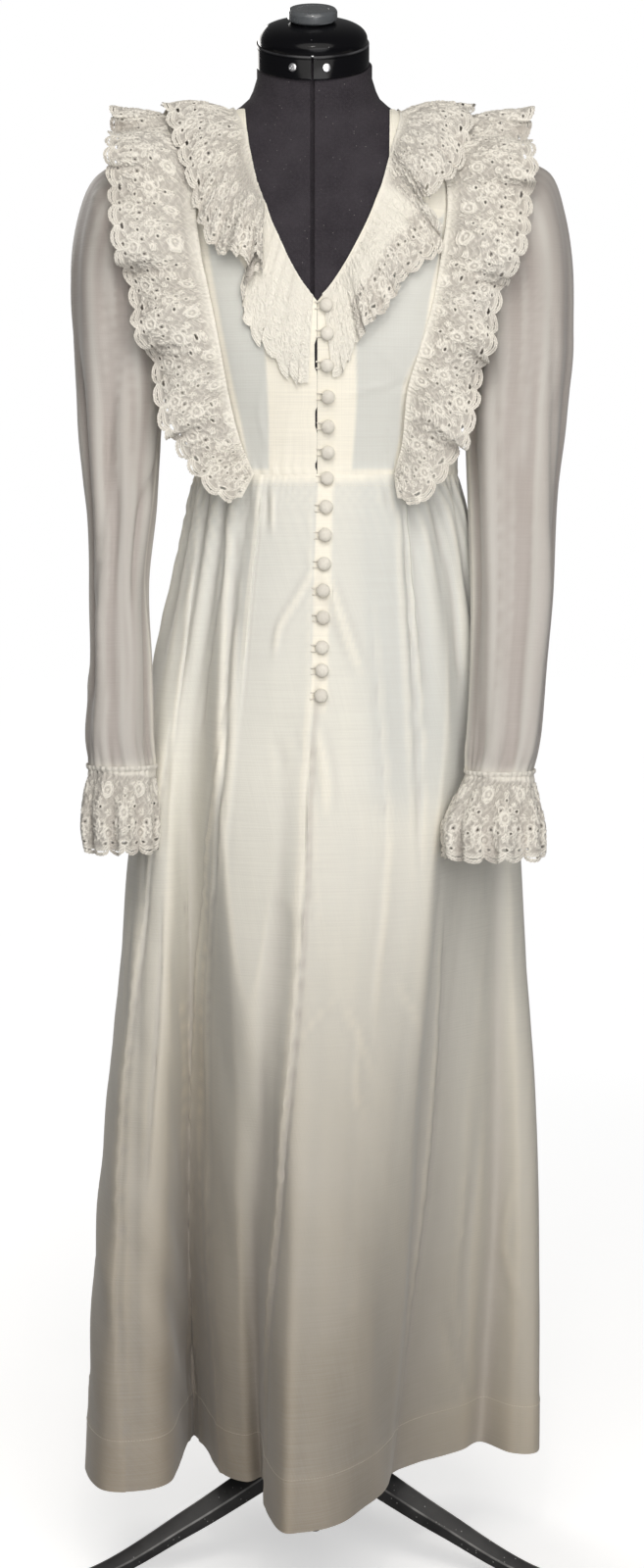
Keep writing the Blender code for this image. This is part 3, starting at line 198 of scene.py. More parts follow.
# Where the front panels are one layer of cloth: z, then the band's outer and inner x
SINGLE_BAND_RIGHT = (
    (1160, -67, -45), (1179, -70, -45), (1215, -76, -45), (1249, -83, -46), (1307, -94, -50),
    (1346, -101, -58), (1367, -105, -66), (1400, -110, -86), (1430, -114, -112),
)
SINGLE_BAND_LEFT = (
    (1160, 82, 36), (1179, 84, 37), (1248, 98, 41), (1290, 108, 40), (1316, 114, 42), (1347, 119, 52),
    (1390, 128, 84), (1430, 134, 132),
)
# Creases on the skirt: depth out (ridges above zero), half width, then points x, fore, z
SKIRT_CREASES = (
    (-2.4, 4, (-50, 97, 1153), (-49, 107, 1116)),
    (1.8, 3, (-43, 100, 1152), (-42, 112, 1106)),
    (1.3, 3, (75, 97, 1153), (80, 101, 1126)),
    (0.7, 2, (-5, 112, 1150), (-5, 126, 1060), (-8, 148, 950)),
    (-2.0, 5, (-96, 78, 1129), (-96, 98, 1062), (-115, 92, 927), (-121, 89, 899)),
    (-3.6, 4, (-79, 95, 1116), (-88, 121, 983), (-92, 144, 877), (-101, 144, 751)),
    (1.8, 5, (-71, 100, 1120), (-79, 124, 983), (-83, 148, 877), (-91, 148, 751)),
    (1.8, 6, (-118, 56, 1129), (-126, 67, 1061), (-137, 73, 1007)),
    (2.6, 4, (-1, 126, 1068), (-17, 130, 1039), (-35, 134, 1010), (-40, 138, 984)),
    (2.6, 4, (13, 128, 1064), (20, 131, 1041), (32, 138, 1005), (47, 145, 966)),
    (-1.0, 6, (-43, 154, 905), (-32, 161, 879), (-30, 164, 866)),
    (-0.9, 5, (-21, 158, 905), (-13, 162, 893), (-9, 162, 885)),
    (2.2, 5, (-1, 157, 922), (10, 167, 866), (12, 175, 827)),
    (-1.3, 2, (-5, 150, 925), (-6, 167, 866), (-5, 180, 801), (-4, 189, 758), (-2, 198, 709), (-2, 212, 630)),
    (-3.4, 4, (92, 97, 1129), (95, 112, 1063), (102, 133, 957), (107, 152, 852), (107, 160, 799)),
    (1.6, 6, (84, 99, 1125), (87, 114, 1058), (92, 135, 950), (96, 154, 850)),
    (-1.8, 6, (127, 77, 1115), (143, 80, 1049), (148, 89, 981), (151, 91, 954)),
    (-2.0, 4, (71, 97, 1153), (77, 101, 1134)),
    (1.3, 3, (160, 78, 533), (158, 71, 430), (156, 54, 281), (157, 43, 211), (163, 27, 150)),
    (0.9, 3, (-20, 213, 593), (2, 208, 622), (25, 205, 643)),
    (0.9, 3, (25, 205, 643), (44, 203, 600), (59, 202, 559)),
    (1.0, 4, (75, 171, 791), (67, 186, 701), (58, 198, 618)),
    (1.5, 8, (-44, 179, 752), (-21, 189, 735), (-15, 195, 716), (-15, 204, 661)),
    (1.2, 4, (46, 203, 622), (42, 213, 545), (53, 209, 528)),
    (1.1, 7, (81, 186, 655), (96, 172, 625), (109, 162, 594)),
    (1.0, 4, (26, 238, 326), (46, 223, 336), (69, 195, 332)),
    (-1.6, 8, (174, 63, 513), (167, 61, 407), (159, 55, 300), (163, 34, 187)),
    (-1.2, 6, (142, 67, 283), (161, 37, 193)),
    (1.2, 7, (209, 37, 401), (204, 32, 336), (231, 40, 269)),
    (-0.8, 6, (-9, 253, 302), (6, 248, 307)),
)
# Fold edges on the skirt: the cloth stands proud on the viewer's right of each line, or on its left
# where the depth is below zero
SKIRT_EDGES = (
    (4.8, 16, (-1, 150, 950), (-3, 157, 909), (-7, 172, 840), (-10, 188, 760), (-15, 203, 670),
     (-24, 216, 546), (-33, 220, 440), (-42, 214, 320), (-49, 200, 190), (-52, 196, 60)),
    (-3.2, 11, (-86, 118, 1000), (-95, 138, 880), (-108, 116, 790), (-120, 82, 676), (-129, 56, 550),
     (-134, 21, 334), (-139, 3, 157), (-141, -4, 60)),
    (3.4, 12, (-90, 150, 830), (-98, 140, 740), (-108, 119, 660), (-110, 110, 542), (-110, 98, 404),
     (-102, 100, 193), (-100, 101, 60)),
    (3.2, 12, (-150, 86, 900), (-166, 92, 800), (-178, 98, 700), (-188, 100, 600), (-198, 112, 480),
     (-204, 130, 350), (-204, 138, 260), (-198, 148, 150), (-196, 150, 60)),
    (3.0, 13, (130, 128, 700), (128, 124, 620), (124, 117, 520), (113, 115, 404), (101, 115, 308),
     (88, 108, 193), (84, 106, 60)),
    (-2.6, 8, (92, 94, 1140), (97, 114, 1050), (101, 136, 940), (105, 152, 850), (108, 162, 760)),
    (2.0, 8, (-124, 70, 1060), (-136, 80, 960), (-147, 86, 880)),
    (-1.6, 7, (58, 132, 1040), (66, 152, 930), (72, 168, 810), (67, 186, 700), (58, 198, 600)),
)
# The recess on the viewer's left, through which more light comes, painted as lighter cloth without shade
SKIRT_RECESS = (
    (1000, 7, (-92, 136, 930), (-100, 135, 850), (-113, 105, 700), (-119, 75, 550), (-121, 60, 404),
     (-120, 55, 250), (-119, 52, 60)),
)
# Creases on the bodice and the sleeves, as on the skirt
BODICE_CREASES = (
    (-1.2, 3, (74, 109, 1250), (91, 104, 1256), (104, 98, 1259)),
    (-1.3, 3, (80, 93, 1179), (74, 99, 1209)),
    (1.1, 3, (30, 112, 1243), (56, 110, 1252), (78, 108, 1255)),
    (0.9, 4, (60, 112, 1300), (76, 108, 1280), (88, 104, 1262)),
    (-0.8, 4, (-12, 108, 1200), (-40, 103, 1192), (-60, 98, 1180)),
    (0.9, 4, (-14, 118, 1290), (-40, 116, 1300), (-62, 110, 1304)),
    (0.8, 4, (-48, 112, 1270), (-58, 108, 1230), (-52, 104, 1190)),
    (0.6, 4, (-30, 96, 1172), (-28, 104, 1205), (-20, 112, 1240)),
)
SLEEVE_RIGHT_CREASES = (
    (2.6, 8, (-214, 25, 1473), (-214, 64, 1389), (-204, 66, 1320), (-200, 75, 1229), (-210, 92, 1129),
     (-217, 113, 1030), (-221, 126, 950)),
    (-2.2, 7, (-192, 62, 1409), (-198, 64, 1350), (-204, 73, 1249), (-214, 88, 1149), (-223, 102, 1049),
     (-226, 97, 969)),
    (-2.0, 6, (-159, 21, 1210), (-172, 76, 1149), (-182, 95, 1089), (-183, 108, 1030)),
    (1.6, 9, (-236, 20, 1400), (-250, 24, 1330), (-246, 34, 1240), (-234, 52, 1140)),
    (1.2, 8, (-232, 60, 1020), (-226, 84, 960), (-214, 124, 920)),
    (-2.0, 9, (-200, -58, 1380), (-204, -44, 1300), (-200, -22, 1200), (-200, 6, 1080), (-204, 40, 960)),
    (1.8, 9, (-176, -52, 1360), (-180, -30, 1250), (-184, 0, 1130)),
)
SLEEVE_LEFT_CREASES = (
    (2.4, 8, (210, 64, 1419), (217, 67, 1320), (213, 81, 1199), (208, 106, 1090), (203, 144, 952)),
    (-2.2, 7, (241, 62, 1389), (247, 64, 1250), (241, 85, 1129), (236, 108, 1000)),
    (-2.0, 6, (182, 49, 1321), (186, 76, 1219), (187, 118, 1050), (183, 158, 893)),
    (1.6, 9, (262, 24, 1400), (272, 26, 1320), (262, 34, 1230), (252, 62, 1120)),
    (-2.0, 9, (214, -58, 1380), (218, -44, 1300), (212, -22, 1200), (210, 10, 1080), (206, 52, 960)),
    (1.8, 9, (190, -52, 1360), (192, -30, 1250), (190, 0, 1130)),
)


class Side(Enum):
    """The wearer's right or left, with the sign of its x."""

    RIGHT = -1
    LEFT = 1

    @property
    def word(self) -> str:
        """The side's name in lower case."""
        return self.name.lower()


class Hold(Enum):
    """How a sheet of cloth is held."""

    GATHERED = "gathered"
    STRETCHED = "stretched"


# Reading the tables


class SmoothTable:
    """Smooth curves through the columns of a table, read at any key without overshoot."""

    def __init__(self, rows: Sequence[Sequence[float]], scale: Sequence[float] | None = None) -> None:
        """Keep the rows, whose first column is the key, times a scale for each column."""
        table = np.array(rows, float) * (np.array(scale) if scale is not None else 1.0)
        table = table[np.argsort(table[:, 0])]
        self.keys, self.values = table[:, 0], table[:, 1:]
        self.steps = np.diff(self.keys)
        slopes = np.diff(self.values, axis=0) / self.steps[:, None]
        product, total = slopes[:-1] * slopes[1:], slopes[:-1] + slopes[1:]
        middle = np.where(product > 0, 2 * product / np.where(product > 0, total, 1.0), 0.0)
        self.tangents = np.vstack([slopes[:1], middle, slopes[-1:]])

    def at(self, key: Array | float) -> Array:
        """Read every column.

        Args:
            key: the keys to read at, of any shape.

        Returns:
            The values, with the columns along the last axis.
        """
        key = np.clip(np.asarray(key, float), self.keys[0], self.keys[-1])
        i = np.clip(np.searchsorted(self.keys, key, side="right") - 1, 0, len(self.steps) - 1)
        t = ((key - self.keys[i]) / self.steps[i])[..., None]
        step = self.steps[i][..., None]
        start = (2 * t**3 - 3 * t**2 + 1) * self.values[i] + (t**3 - 2 * t**2 + t) * step * self.tangents[i]
        end = (3 * t**2 - 2 * t**3) * self.values[i + 1] + (t**3 - t**2) * step * self.tangents[i + 1]
        return start + end

    def columns(self, key: Array | float) -> Array:
        """Read the columns one by one, along the first axis."""
        return np.moveaxis(self.at(key), -1, 0)


def signed_power(value: Array, power: Array) -> Array:
    """Raise the size of a value to a power and keep its sign."""
    return np.sign(value) * np.abs(value) ** power


def ease(value: Array) -> Array:
    """A smooth step from zero to one."""
    t = np.clip(value, 0.0, 1.0)
    return t * t * (3 - 2 * t)


def bell_curve(distance: Array, width: float) -> Array:
    """A soft bump of height one and a half width."""
    return np.exp(-((distance / width) ** 2))


def join(*parts: Array) -> Array:
    """Stack coordinates into points along a last axis."""
    return np.stack(np.broadcast_arrays(*parts), axis=-1)


def unit(vectors: Array) -> Array:
    """Vectors of length one."""
    return vectors / np.maximum(np.linalg.norm(vectors, axis=-1, keepdims=True), 1e-12)


def run_length(points: Array, axis: int) -> Array:
    """Distance along a grid of points from its first row or column."""
    steps = np.linalg.norm(np.diff(points, axis=axis), axis=-1)
    start = np.zeros_like(np.take(steps, [0], axis=axis))
    return np.concatenate([start, np.cumsum(steps, axis=axis)], axis=axis)


def smooth_path(points: Array, count: int) -> Array:
    """A curve through points.

    Args:
        points: the points to pass, along the first axis.
        count: how many samples to return.

    Returns:
        The samples, evenly spread over the points' order.
    """
    padded = np.concatenate([2 * points[:1] - points[1:2], points, 2 * points[-1:] - points[-2:-1]])
    place = np.linspace(0, len(points) - 1, count)
    i = np.minimum(place.astype(int), len(points) - 2)
    t = (place - i).reshape((-1,) + (1,) * (points.ndim - 1))
    return catmull(padded[i], padded[i + 1], padded[i + 2], padded[i + 3], t)


def catmull(p0: Array, p1: Array, p2: Array, p3: Array, t: Array) -> Array:
    """A smooth curve from the second to the third of four points."""
    bend = (2 * p0 - 5 * p1 + 4 * p2 - p3) * t**2 + (3 * p1 - p0 - 3 * p2 + p3) * t**3
    return 0.5 * (2 * p1 + (p2 - p0) * t + bend)


def oval(section: Sequence[Array], z: Array, angle: Array) -> Array:
    """Points round level sections of half width, front, back, centre and power."""
    half, front, back, centre, power = section
    c, s = np.cos(angle), np.sin(angle)
    x = centre + half * signed_power(c, 2.0 / power)
    return join(x, np.where(s >= 0, front, back) * signed_power(s, 2.0 / power), z)


class FormShape:
    """The outside of the dress form, as smooth level sections."""

    probe = 0.002
    cloth_top_z = 1.5505

    def __init__(self) -> None:
        """Read the section tables."""
        self.table = SmoothTable(FORM_SECTIONS, (MM, MM, MM, MM, MM, 1.0))
        self.room = SmoothTable(CLOTH_CLEARANCE, (MM, MM))
        self.low, self.high = self.table.keys[0], self.table.keys[-1]

    def clearance(self, z: Array) -> Array:
        """How far the bodice's inside stands off the form at heights."""
        return self.room.at(z)[..., 0]

    def value(self, x: Array, fore: Array, z: Array) -> Array:
        """Below one inside the form, above one outside it."""
        half, front, back, centre, power = self.table.columns(z)
        depth = np.where(fore >= 0, front, back)
        return (np.abs((x - centre) / half) ** power + np.abs(fore / depth) ** power) ** (1.0 / power)

    def normal(self, points: Array) -> Array:
        """The outward direction of the form's surface at points on it."""
        x, fore, z = np.moveaxis(points, -1, 0)
        step = self.probe
        low, high = np.maximum(z - step, self.low), np.minimum(z + step, self.high)
        slope_x = self.value(x + step, fore, z) - self.value(x - step, fore, z)
        slope_fore = self.value(x, fore + step, z) - self.value(x, fore - step, z)
        slope_z = (self.value(x, fore, high) - self.value(x, fore, low)) * 2 * step
        return unit(join(slope_x, slope_fore, slope_z / np.maximum(high - low, step)))

    def point(self, z: Array, angle: Array, out: Array | float = 0.0) -> Array:
        """Points on the form, moved outwards.

        Args:
            z: heights.
            angle: angles round the section, 0 at the left side and a quarter turn in front.
            out: how far to move each point off the form.

        Returns:
            Points as x, fore and z.
        """
        points = oval(self.table.columns(z), z, angle)
        return points + self.normal(points) * np.asarray(out)[..., None]

    def angle_at_x(self, z: Array, x: Array) -> Array:
        """The angle on the front where the surface has this x."""
        half, _, _, centre, power = self.table.columns(z)
        ratio = np.clip((x - centre) / half, -1.0, 1.0)
        return np.arccos(signed_power(ratio, power / 2.0))

    def angle_at_fore(self, z: Array, fore: Array) -> Array:
        """The angle off the side where the surface has this fore distance."""
        _, front, back, _, power = self.table.columns(z)
        depth = np.where(fore >= 0, front, back)
        return np.arcsin(signed_power(np.clip(fore / depth, -1.0, 1.0), power / 2.0))

    def armhole_angle(self, z: Array, fore: Array, side: Side) -> Array:
        """The angle of a place on the form's right or left side."""
        angle = self.angle_at_fore(z, fore)
        return math.pi - angle if side is Side.RIGHT else angle

    def keep_off(self, points: Array, out: Array) -> Array:
        """Move points straight off the form until they stand this far out."""
        step = self.probe / 2
        for _ in range(2):
            x, fore, z = np.moveaxis(points, -1, 0)
            normal = self.normal(points)
            here = self.value(x, fore, z)
            slope = (here - self.value(*np.moveaxis(points - normal * step, -1, 0))) / step
            short = out - (here - 1.0) / np.maximum(slope, 1.0)
            inside = (z >= WAIST_Z) & (z < self.cloth_top_z)
            points = points + normal * np.where(inside, np.maximum(short, 0.0), 0.0)[..., None]
        return points


# Meshes


def lattice(rows: int, columns: int, wide: int) -> tuple[Array, Array, Array]:
    """Row, column and corner numbers of the faces of a grid of points, which may close on itself."""
    r, c = np.meshgrid(np.arange(rows - 1), np.arange(wide), indexing="ij")
    low, high, d = r * columns, (r + 1) * columns, (c + 1) % columns
    return r, c, np.stack([low + c, low + d, high + d, high + c], -1)


def lap_round(values: Array, step: float | None = None) -> Array:
    """Repeat a closed grid's first column at its end, or add a last column a step further on."""
    last = values[:, :1] if step is None else values[:, -1:] + step
    return np.concatenate([values, last], axis=1)


def grid_normals(points: Array, outward: Array, closed: bool = False) -> Array:
    """Unit normals of a grid of points, on the side that the outward vectors point to."""
    if closed:
        padded = np.concatenate([points[:, -1:], points, points[:, :1]], axis=1)
        across = np.gradient(padded, axis=1)[:, 1:-1]
    else:
        across = np.gradient(points, axis=1)
    normals = unit(np.cross(across, np.gradient(points, axis=0)))
    return normals * (1.0 if np.sum(normals * outward) > 0 else -1.0)


def ride_and_slot(obj: bpy.types.Object, replaced: Sequence[str]) -> None:
    """Put a finished piece on its body, hide the CAD nodes that it stands for and log its faces."""
    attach(obj, BODY)
    if replaced:
        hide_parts(*replaced)
    LOG.info("%s: %d faces", obj.name, len(obj.data.polygons))


def new_object(name: str, data: bpy.types.ID, material: bpy.types.Material | None = None) -> bpy.types.Object:
    """Link a mesh, light or camera as a new object, with one material if it is given."""
    obj = bpy.data.objects.new(name, data)
    bpy.context.scene.collection.objects.link(obj)
    if material:
        data.materials.clear()
        data.materials.append(material)
    return obj


def to_world(points: Array) -> Array:
    """Turn places measured from the form's axis into the part's own frame, or back."""
    moved = np.array(points, float)
    moved[..., 1] = AXIS_Y - moved[..., 1]
    return moved


def add_values(mesh: bpy.types.Mesh, name: str, values: Array) -> None:
    """Give each point of a mesh a value under a name."""
    attribute = mesh.attributes.new(name, "FLOAT", "POINT")
    attribute.data.foreach_set("value", values.astype(np.float32))


def baked(obj: bpy.types.Object) -> bpy.types.Mesh:
    """The mesh that an object's modifiers make."""
    bpy.context.view_layer.update()
    shown = obj.evaluated_get(bpy.context.evaluated_depsgraph_get())
    return bpy.data.meshes.new_from_object(shown)


@dataclass
class ClothGrid:
    """A sheet of cloth as a grid of points, with UVs in metres and named values."""

    name: str
    points: Array
    outward: Array
    uv: Array
    closed: bool = False
    keep: Array | None = None
    values: dict[str, Array] = field(default_factory=dict)
    sharp: float = math.radians(60)

    def build(self, material: bpy.types.Material, wall: float = 0.0) -> bpy.types.Object:
        """Make the mesh object.

        Args:
            material: the cloth's material.
            wall: how thick the cloth is, outwards, or zero for a single surface.

        Returns:
            The new object.
        """
        rows, columns = self.points.shape[:2]
        r, c, faces = lattice(rows, columns, columns if self.closed else columns - 1)
        place = np.stack([join(r, c), join(r, c + 1), join(r + 1, c + 1), join(r + 1, c)], axis=2)
        if self.keep is not None:
            faces, place = faces[self.keep], place[self.keep]
        faces, place = faces.reshape(-1, 4), place.reshape(-1, 4, 2)
        world = to_world(self.points).reshape(-1, 3)
        outward = to_world(self.outward).reshape(-1, 3) - np.array([0.0, AXIS_Y, 0.0])
        corner = world[faces]
        facing = np.cross(corner[:, 2] - corner[:, 0], corner[:, 3] - corner[:, 1])
        if np.sum(facing * outward[faces[:, 0]]) < 0:
            faces, place = faces[:, ::-1], place[:, ::-1]
        used, faces = np.unique(faces, return_inverse=True)
        mesh = bpy.data.meshes.new(self.name)
        fill_mesh(mesh, world[used], faces.reshape(-1, 4))
        uv = self.uv[place[..., 0], place[..., 1]]
        mesh.uv_layers.new(name="cloth").data.foreach_set("uv", uv.astype(np.float32).ravel())
        for key, value in self.values.items():
            add_values(mesh, key, np.broadcast_to(value, (rows, columns)).reshape(-1)[used])
        mesh.shade_smooth()
        obj = new_object(self.name, mesh, material)
        if wall:
            solid = obj.modifiers.new("cloth_wall", "SOLIDIFY")
            solid.thickness, solid.offset = wall, 1.0
            shell = baked(obj)
            shell.set_sharp_from_angle(angle=self.sharp)
            obj.modifiers.clear()
            obj.data = shell
        return obj


def fill_mesh(mesh: bpy.types.Mesh, spots: Array, faces: Array) -> None:
    """Fill an empty mesh with vertices and four-cornered faces."""
    mesh.vertices.add(len(spots))
    mesh.vertices.foreach_set("co", spots.astype(np.float32).ravel())
    mesh.loops.add(faces.size)
    mesh.loops.foreach_set("vertex_index", faces.astype(np.int32).ravel())
    mesh.polygons.add(len(faces))
    mesh.polygons.foreach_set("loop_start", np.arange(0, faces.size, 4, dtype=np.int32))
    mesh.update(calc_edges=True)


def crease(points: Array, normals: Array, rows: Sequence, one_sided: bool = False) -> Array:
    """How far a set of creases moves each point of a grid.

    Args:
        points: the grid.
        normals: its unit normals.
        rows: depth, half width and the points of each crease, in millimetres.
        one_sided: whether the cloth steps up on one side of the line only, as at a fold's edge.

    Returns:
        The moves along the normals.
    """
    flat, facing = points.reshape(-1, 3), normals.reshape(-1, 3)
    moves = np.zeros(len(flat))
    for depth, width, *spots in rows:
        path = np.array(spots, float) * MM
        if len(path) == 2:
            path = np.stack([path[0], path.mean(axis=0), path[1]])
        path = smooth_path(path, 40)
        reach = 3 * width * MM
        near = np.all((flat > path.min(0) - reach) & (flat < path.max(0) + reach), axis=1)
        away = flat[near][:, None] - path[None]
        lift = np.sum(away * facing[near][:, None], axis=-1)
        flatness = np.sqrt(np.maximum(np.sum(away**2, axis=-1) - lift**2, 0.0))
        flatness = np.where(np.abs(lift) < 0.025, flatness, 1.0)
        nearest = np.argmin(flatness, axis=1)
        distance = np.take_along_axis(flatness, nearest[:, None], axis=1)[:, 0]
        fade = np.sin(math.pi * (nearest + 0.5) / 40) ** 0.5
        shape = bell_curve(distance, width * MM)
        if one_sided:
            run = unit(np.gradient(path, axis=0))[nearest]
            off = np.take_along_axis(away, nearest[:, None, None], axis=1)[:, 0]
            side = np.sum(np.cross(run, off) * facing[near], axis=1) * np.sign(depth)
            step = np.clip(0.5 + side / 0.0016, 0.0, 1.0)
            under = 0.4 * bell_curve(distance, width * MM * 0.4)
            shape = np.sign(depth) * (step * shape - (1 - step) * under)
        moves[near] += depth * MM * fade * shape
    return moves.reshape(points.shape[:2])


def sunk_share(points: Array, normals: Array, reach: int, depth: float) -> Array:
    """How far each point lies below the cloth on both sides of it.

    Args:
        points: the grid, whose columns run round or across the cloth.
        normals: its unit normals.
        reach: how many columns away the cloth beside it is.
        depth: the depth that counts as one.

    Returns:
        One in a groove, less than zero on a ridge.
    """
    columns = points.shape[1]
    before, after = (np.clip(np.arange(columns) + k, 0, columns - 1) for k in (-reach, reach))
    middle = (points[:, before] + points[:, after]) / 2
    return np.clip(np.sum((middle - points) * normals, axis=-1) / depth, -1.0, 1.0)


def ripples(across: Array, down: Array, seed: int, waves: int, size: tuple[float, float]) -> Array:
    """Uneven soft waves over a sheet, as a sum of slanted sines.

    Args:
        across: distance across the sheet.
        down: distance down the sheet.
        seed: which set of waves.
        waves: how many waves.
        size: shortest and longest wave across, in metres.

    Returns:
        Values round zero, mostly between minus one and one.
    """
    rng = np.random.default_rng(seed)
    total = np.zeros(np.broadcast(across, down).shape)
    for _ in range(waves):
        length = rng.uniform(*size)
        slant = rng.uniform(-0.35, 0.35)
        turn = rng.uniform(0, TURN)
        beat = 1 + 0.5 * np.sin(down / rng.uniform(0.10, 0.25) + rng.uniform(0, 6.3))
        total += beat * np.sin(TURN * (across + slant * down) / length + turn)
    return total / math.sqrt(waves)


# Finishes


class NodeKit:
    """Adds and links nodes in a shader or geometry tree."""

    def __init__(self, tree: bpy.types.NodeTree) -> None:
        """Work in this tree."""
        self.tree = tree

    def feed(self, node: bpy.types.Node, inputs: dict) -> None:
        """Link or set a node's inputs, given as output sockets, values or colours by name or index."""
        for key, value in inputs.items():
            socket = node.inputs[key]
            if isinstance(value, bpy.types.NodeSocket):
                self.tree.links.new(value, socket)
            else:
                socket.default_value = (*value, 1.0) if socket.type == "RGBA" else value

    def add(self, kind: str, inputs: dict | None = None, **settings: object) -> bpy.types.Node:
        """Add a node.

        Args:
            kind: the node's type.
            inputs: what feeds its inputs.
            settings: the node's own properties.

        Returns:
            The new node.
        """
        node = self.tree.nodes.new(kind)
        for key, value in settings.items():
            setattr(node, key, value)
        self.feed(node, inputs or {})
        return node

    def math(self, kind: str, first: object, second: object = 0.0, clamp: bool = False) -> Socket:
        """Join two values by a sum, product or other operation."""
        return self.add("ShaderNodeMath", {0: first, 1: second}, operation=kind, use_clamp=clamp).outputs[0]

    def blend(self, share: object, first: object, second: object, kind: str = "MIX") -> Socket:
        """Mix two colours by a share."""
        colours = {0: share, 6: first, 7: second}
        return self.add("ShaderNodeMix", colours, data_type="RGBA", blend_type=kind).outputs[2]

    def span(self, value: object, low: float, high: float, to: tuple[float, float] = (0.0, 1.0)) -> Socket:
        """Spread a value from one range to another, held at its ends."""
        ends = {0: value, 1: low, 2: high, 3: to[0], 4: to[1]}
        return self.add("ShaderNodeMapRange", ends, clamp=True).outputs[0]

    def tint(self, amount: object, share: float, colour: object, other: tuple) -> Socket:
        """Mix in another colour, up to a share where the amount is one."""
        return self.blend(self.span(amount, 0.0, 1.0, (0.0, share)), colour, other)

    def named(self, attribute: str) -> Socket:
        """Read a value that the mesh carries by name."""
        return self.add("ShaderNodeAttribute", attribute_name=attribute).outputs["Fac"]


def group(name: str, inputs: dict[str, float | None], outputs: Sequence[str]) -> tuple:
    """Start a shader node group.

    Args:
        name: the group's name.
        inputs: default values by name, with None for a place in space.
        outputs: the names of the values that it puts out.

    Returns:
        The node kit, the sockets of the group's input and its output node.
    """
    tree = bpy.data.node_groups.new(name, "ShaderNodeTree")
    for key, value in inputs.items():
        kind = "NodeSocketVector" if value is None else "NodeSocketFloat"
        socket = tree.interface.new_socket(key, in_out="INPUT", socket_type=kind)
        if value is not None:
            socket.default_value = value
    for key in outputs:
        tree.interface.new_socket(key, in_out="OUTPUT", socket_type="NodeSocketFloat")
    kit = NodeKit(tree)
    return kit, kit.add("NodeGroupInput").outputs, kit.add("NodeGroupOutput")


class Effects:
    """The shader node groups that several finishes share, built once."""

    def __init__(self) -> None:
        """Build every group."""
        self.weave, self.mottle, self.specks = self.build_weave(), self.build_mottle(), self.build_specks()

    @staticmethod
    def build_weave() -> bpy.types.NodeTree:
        """Crossing threads with thicker slubs along the weft."""
        inputs = {"Place": None, "Threads": 900.0, "Slub": 1.0}
        kit, start, end = group("woven_threads", inputs, ("Height", "Slubs"))
        split = kit.add("ShaderNodeSeparateXYZ", {0: start["Place"]}).outputs
        waves, slubs = [], []
        for axis in (0, 1):
            turn = kit.math("MULTIPLY", kit.math("MULTIPLY", split[axis], start["Threads"]), math.pi)
            waves.append(kit.math("ABSOLUTE", kit.math("SINE", turn)))
        for scale, detail, share in (((14.0, 620.0, 1.0), 2.0, 0.68), ((700.0, 9.0, 1.0), 1.0, 0.32)):
            drawn = kit.add("ShaderNodeMapping", {"Vector": start["Place"], "Scale": scale}).outputs[0]
            noise = kit.add("ShaderNodeTexNoise", {"Vector": drawn, "Scale": 1.0, "Detail": detail})
            slubs.append(kit.math("MULTIPLY", noise.outputs[0], share))
        height = kit.math("MULTIPLY", kit.math("ADD", *waves), 0.5)
        thick = kit.math("MULTIPLY", kit.span(kit.math("ADD", *slubs), 0.40, 0.64), start["Slub"])
        kit.feed(end, {"Height": height, "Slubs": thick})
        return kit.tree

    @staticmethod
    def build_mottle() -> bpy.types.NodeTree:
        """Soft uneven patches."""
        kit, start, end = group("soft_mottle", {"Place": None, "Scale": 8.0, "Detail": 3.0}, ("Patches",))
        inputs = {"Vector": start["Place"], "Scale": start["Scale"], "Detail": start["Detail"]}
        noise = kit.add("ShaderNodeTexNoise", inputs)
        kit.feed(end, {"Patches": kit.span(noise.outputs[0], 0.32, 0.68)})
        return kit.tree

    @staticmethod
    def build_specks() -> bpy.types.NodeTree:
        """Scattered small specks, such as lint, dust or scuffs."""
        kit, start, end = group("small_specks", {"Place": None, "Scale": 400.0, "Amount": 0.3}, ("Specks",))
        cells = kit.add("ShaderNodeTexVoronoi", {"Vector": start["Place"], "Scale": start["Scale"]}).outputs
        pick = kit.add("ShaderNodeSeparateColor", {0: cells["Color"]})
        chosen = kit.math("LESS_THAN", pick.outputs[0], start["Amount"])
        spot = kit.span(cells["Distance"], 0.12, 0.26, (1.0, 0.0))
        kit.feed(end, {"Specks": kit.math("MULTIPLY", spot, chosen)})
        return kit.tree


class Painter(NodeKit):
    """Starts a material and places the shared effects in it."""

    def __init__(self, effects: Effects | None, name: str, sockets: dict) -> None:
        """Make the material with its uniform values set on the shader's own sockets."""
        self.effects = effects
        self.material = bpy.data.materials.new(name)
        self.material.use_nodes = True
        super().__init__(self.material.node_tree)
        self.shader = self.tree.nodes["Principled BSDF"]
        self.feed(self.shader, sockets)
        place = self.add("ShaderNodeTexCoord").outputs
        self.solid, self.cloth = place["Object"], place["UV"]

    def weave(self, place: Socket, threads: float, slub: float) -> bpy.types.NodeOutputs:
        """Place the woven threads."""
        inputs = {"Place": place, "Threads": threads, "Slub": slub}
        return self.add("ShaderNodeGroup", inputs, node_tree=self.effects.weave).outputs

    def mottle(self, scale: float, detail: float = 2.0, place: Socket | None = None) -> Socket:
        """Place the soft patches, by object coordinates unless another place is given."""
        inputs = {"Place": self.solid if place is None else place, "Scale": scale, "Detail": detail}
        return self.add("ShaderNodeGroup", inputs, node_tree=self.effects.mottle).outputs[0]

    def specks(self, scale: float, amount: float) -> Socket:
        """Place the small specks."""
        inputs = {"Place": self.solid, "Scale": scale, "Amount": amount}
        return self.add("ShaderNodeGroup", inputs, node_tree=self.effects.specks).outputs[0]

    def bump(self, height: Socket, distance: float, strength: float) -> None:
        """Feed the shader's normal from a height."""
        inputs = {"Height": height, "Distance": distance, "Strength": strength}
        self.feed(self.shader, {"Normal": self.add("ShaderNodeBump", inputs).outputs[0]})


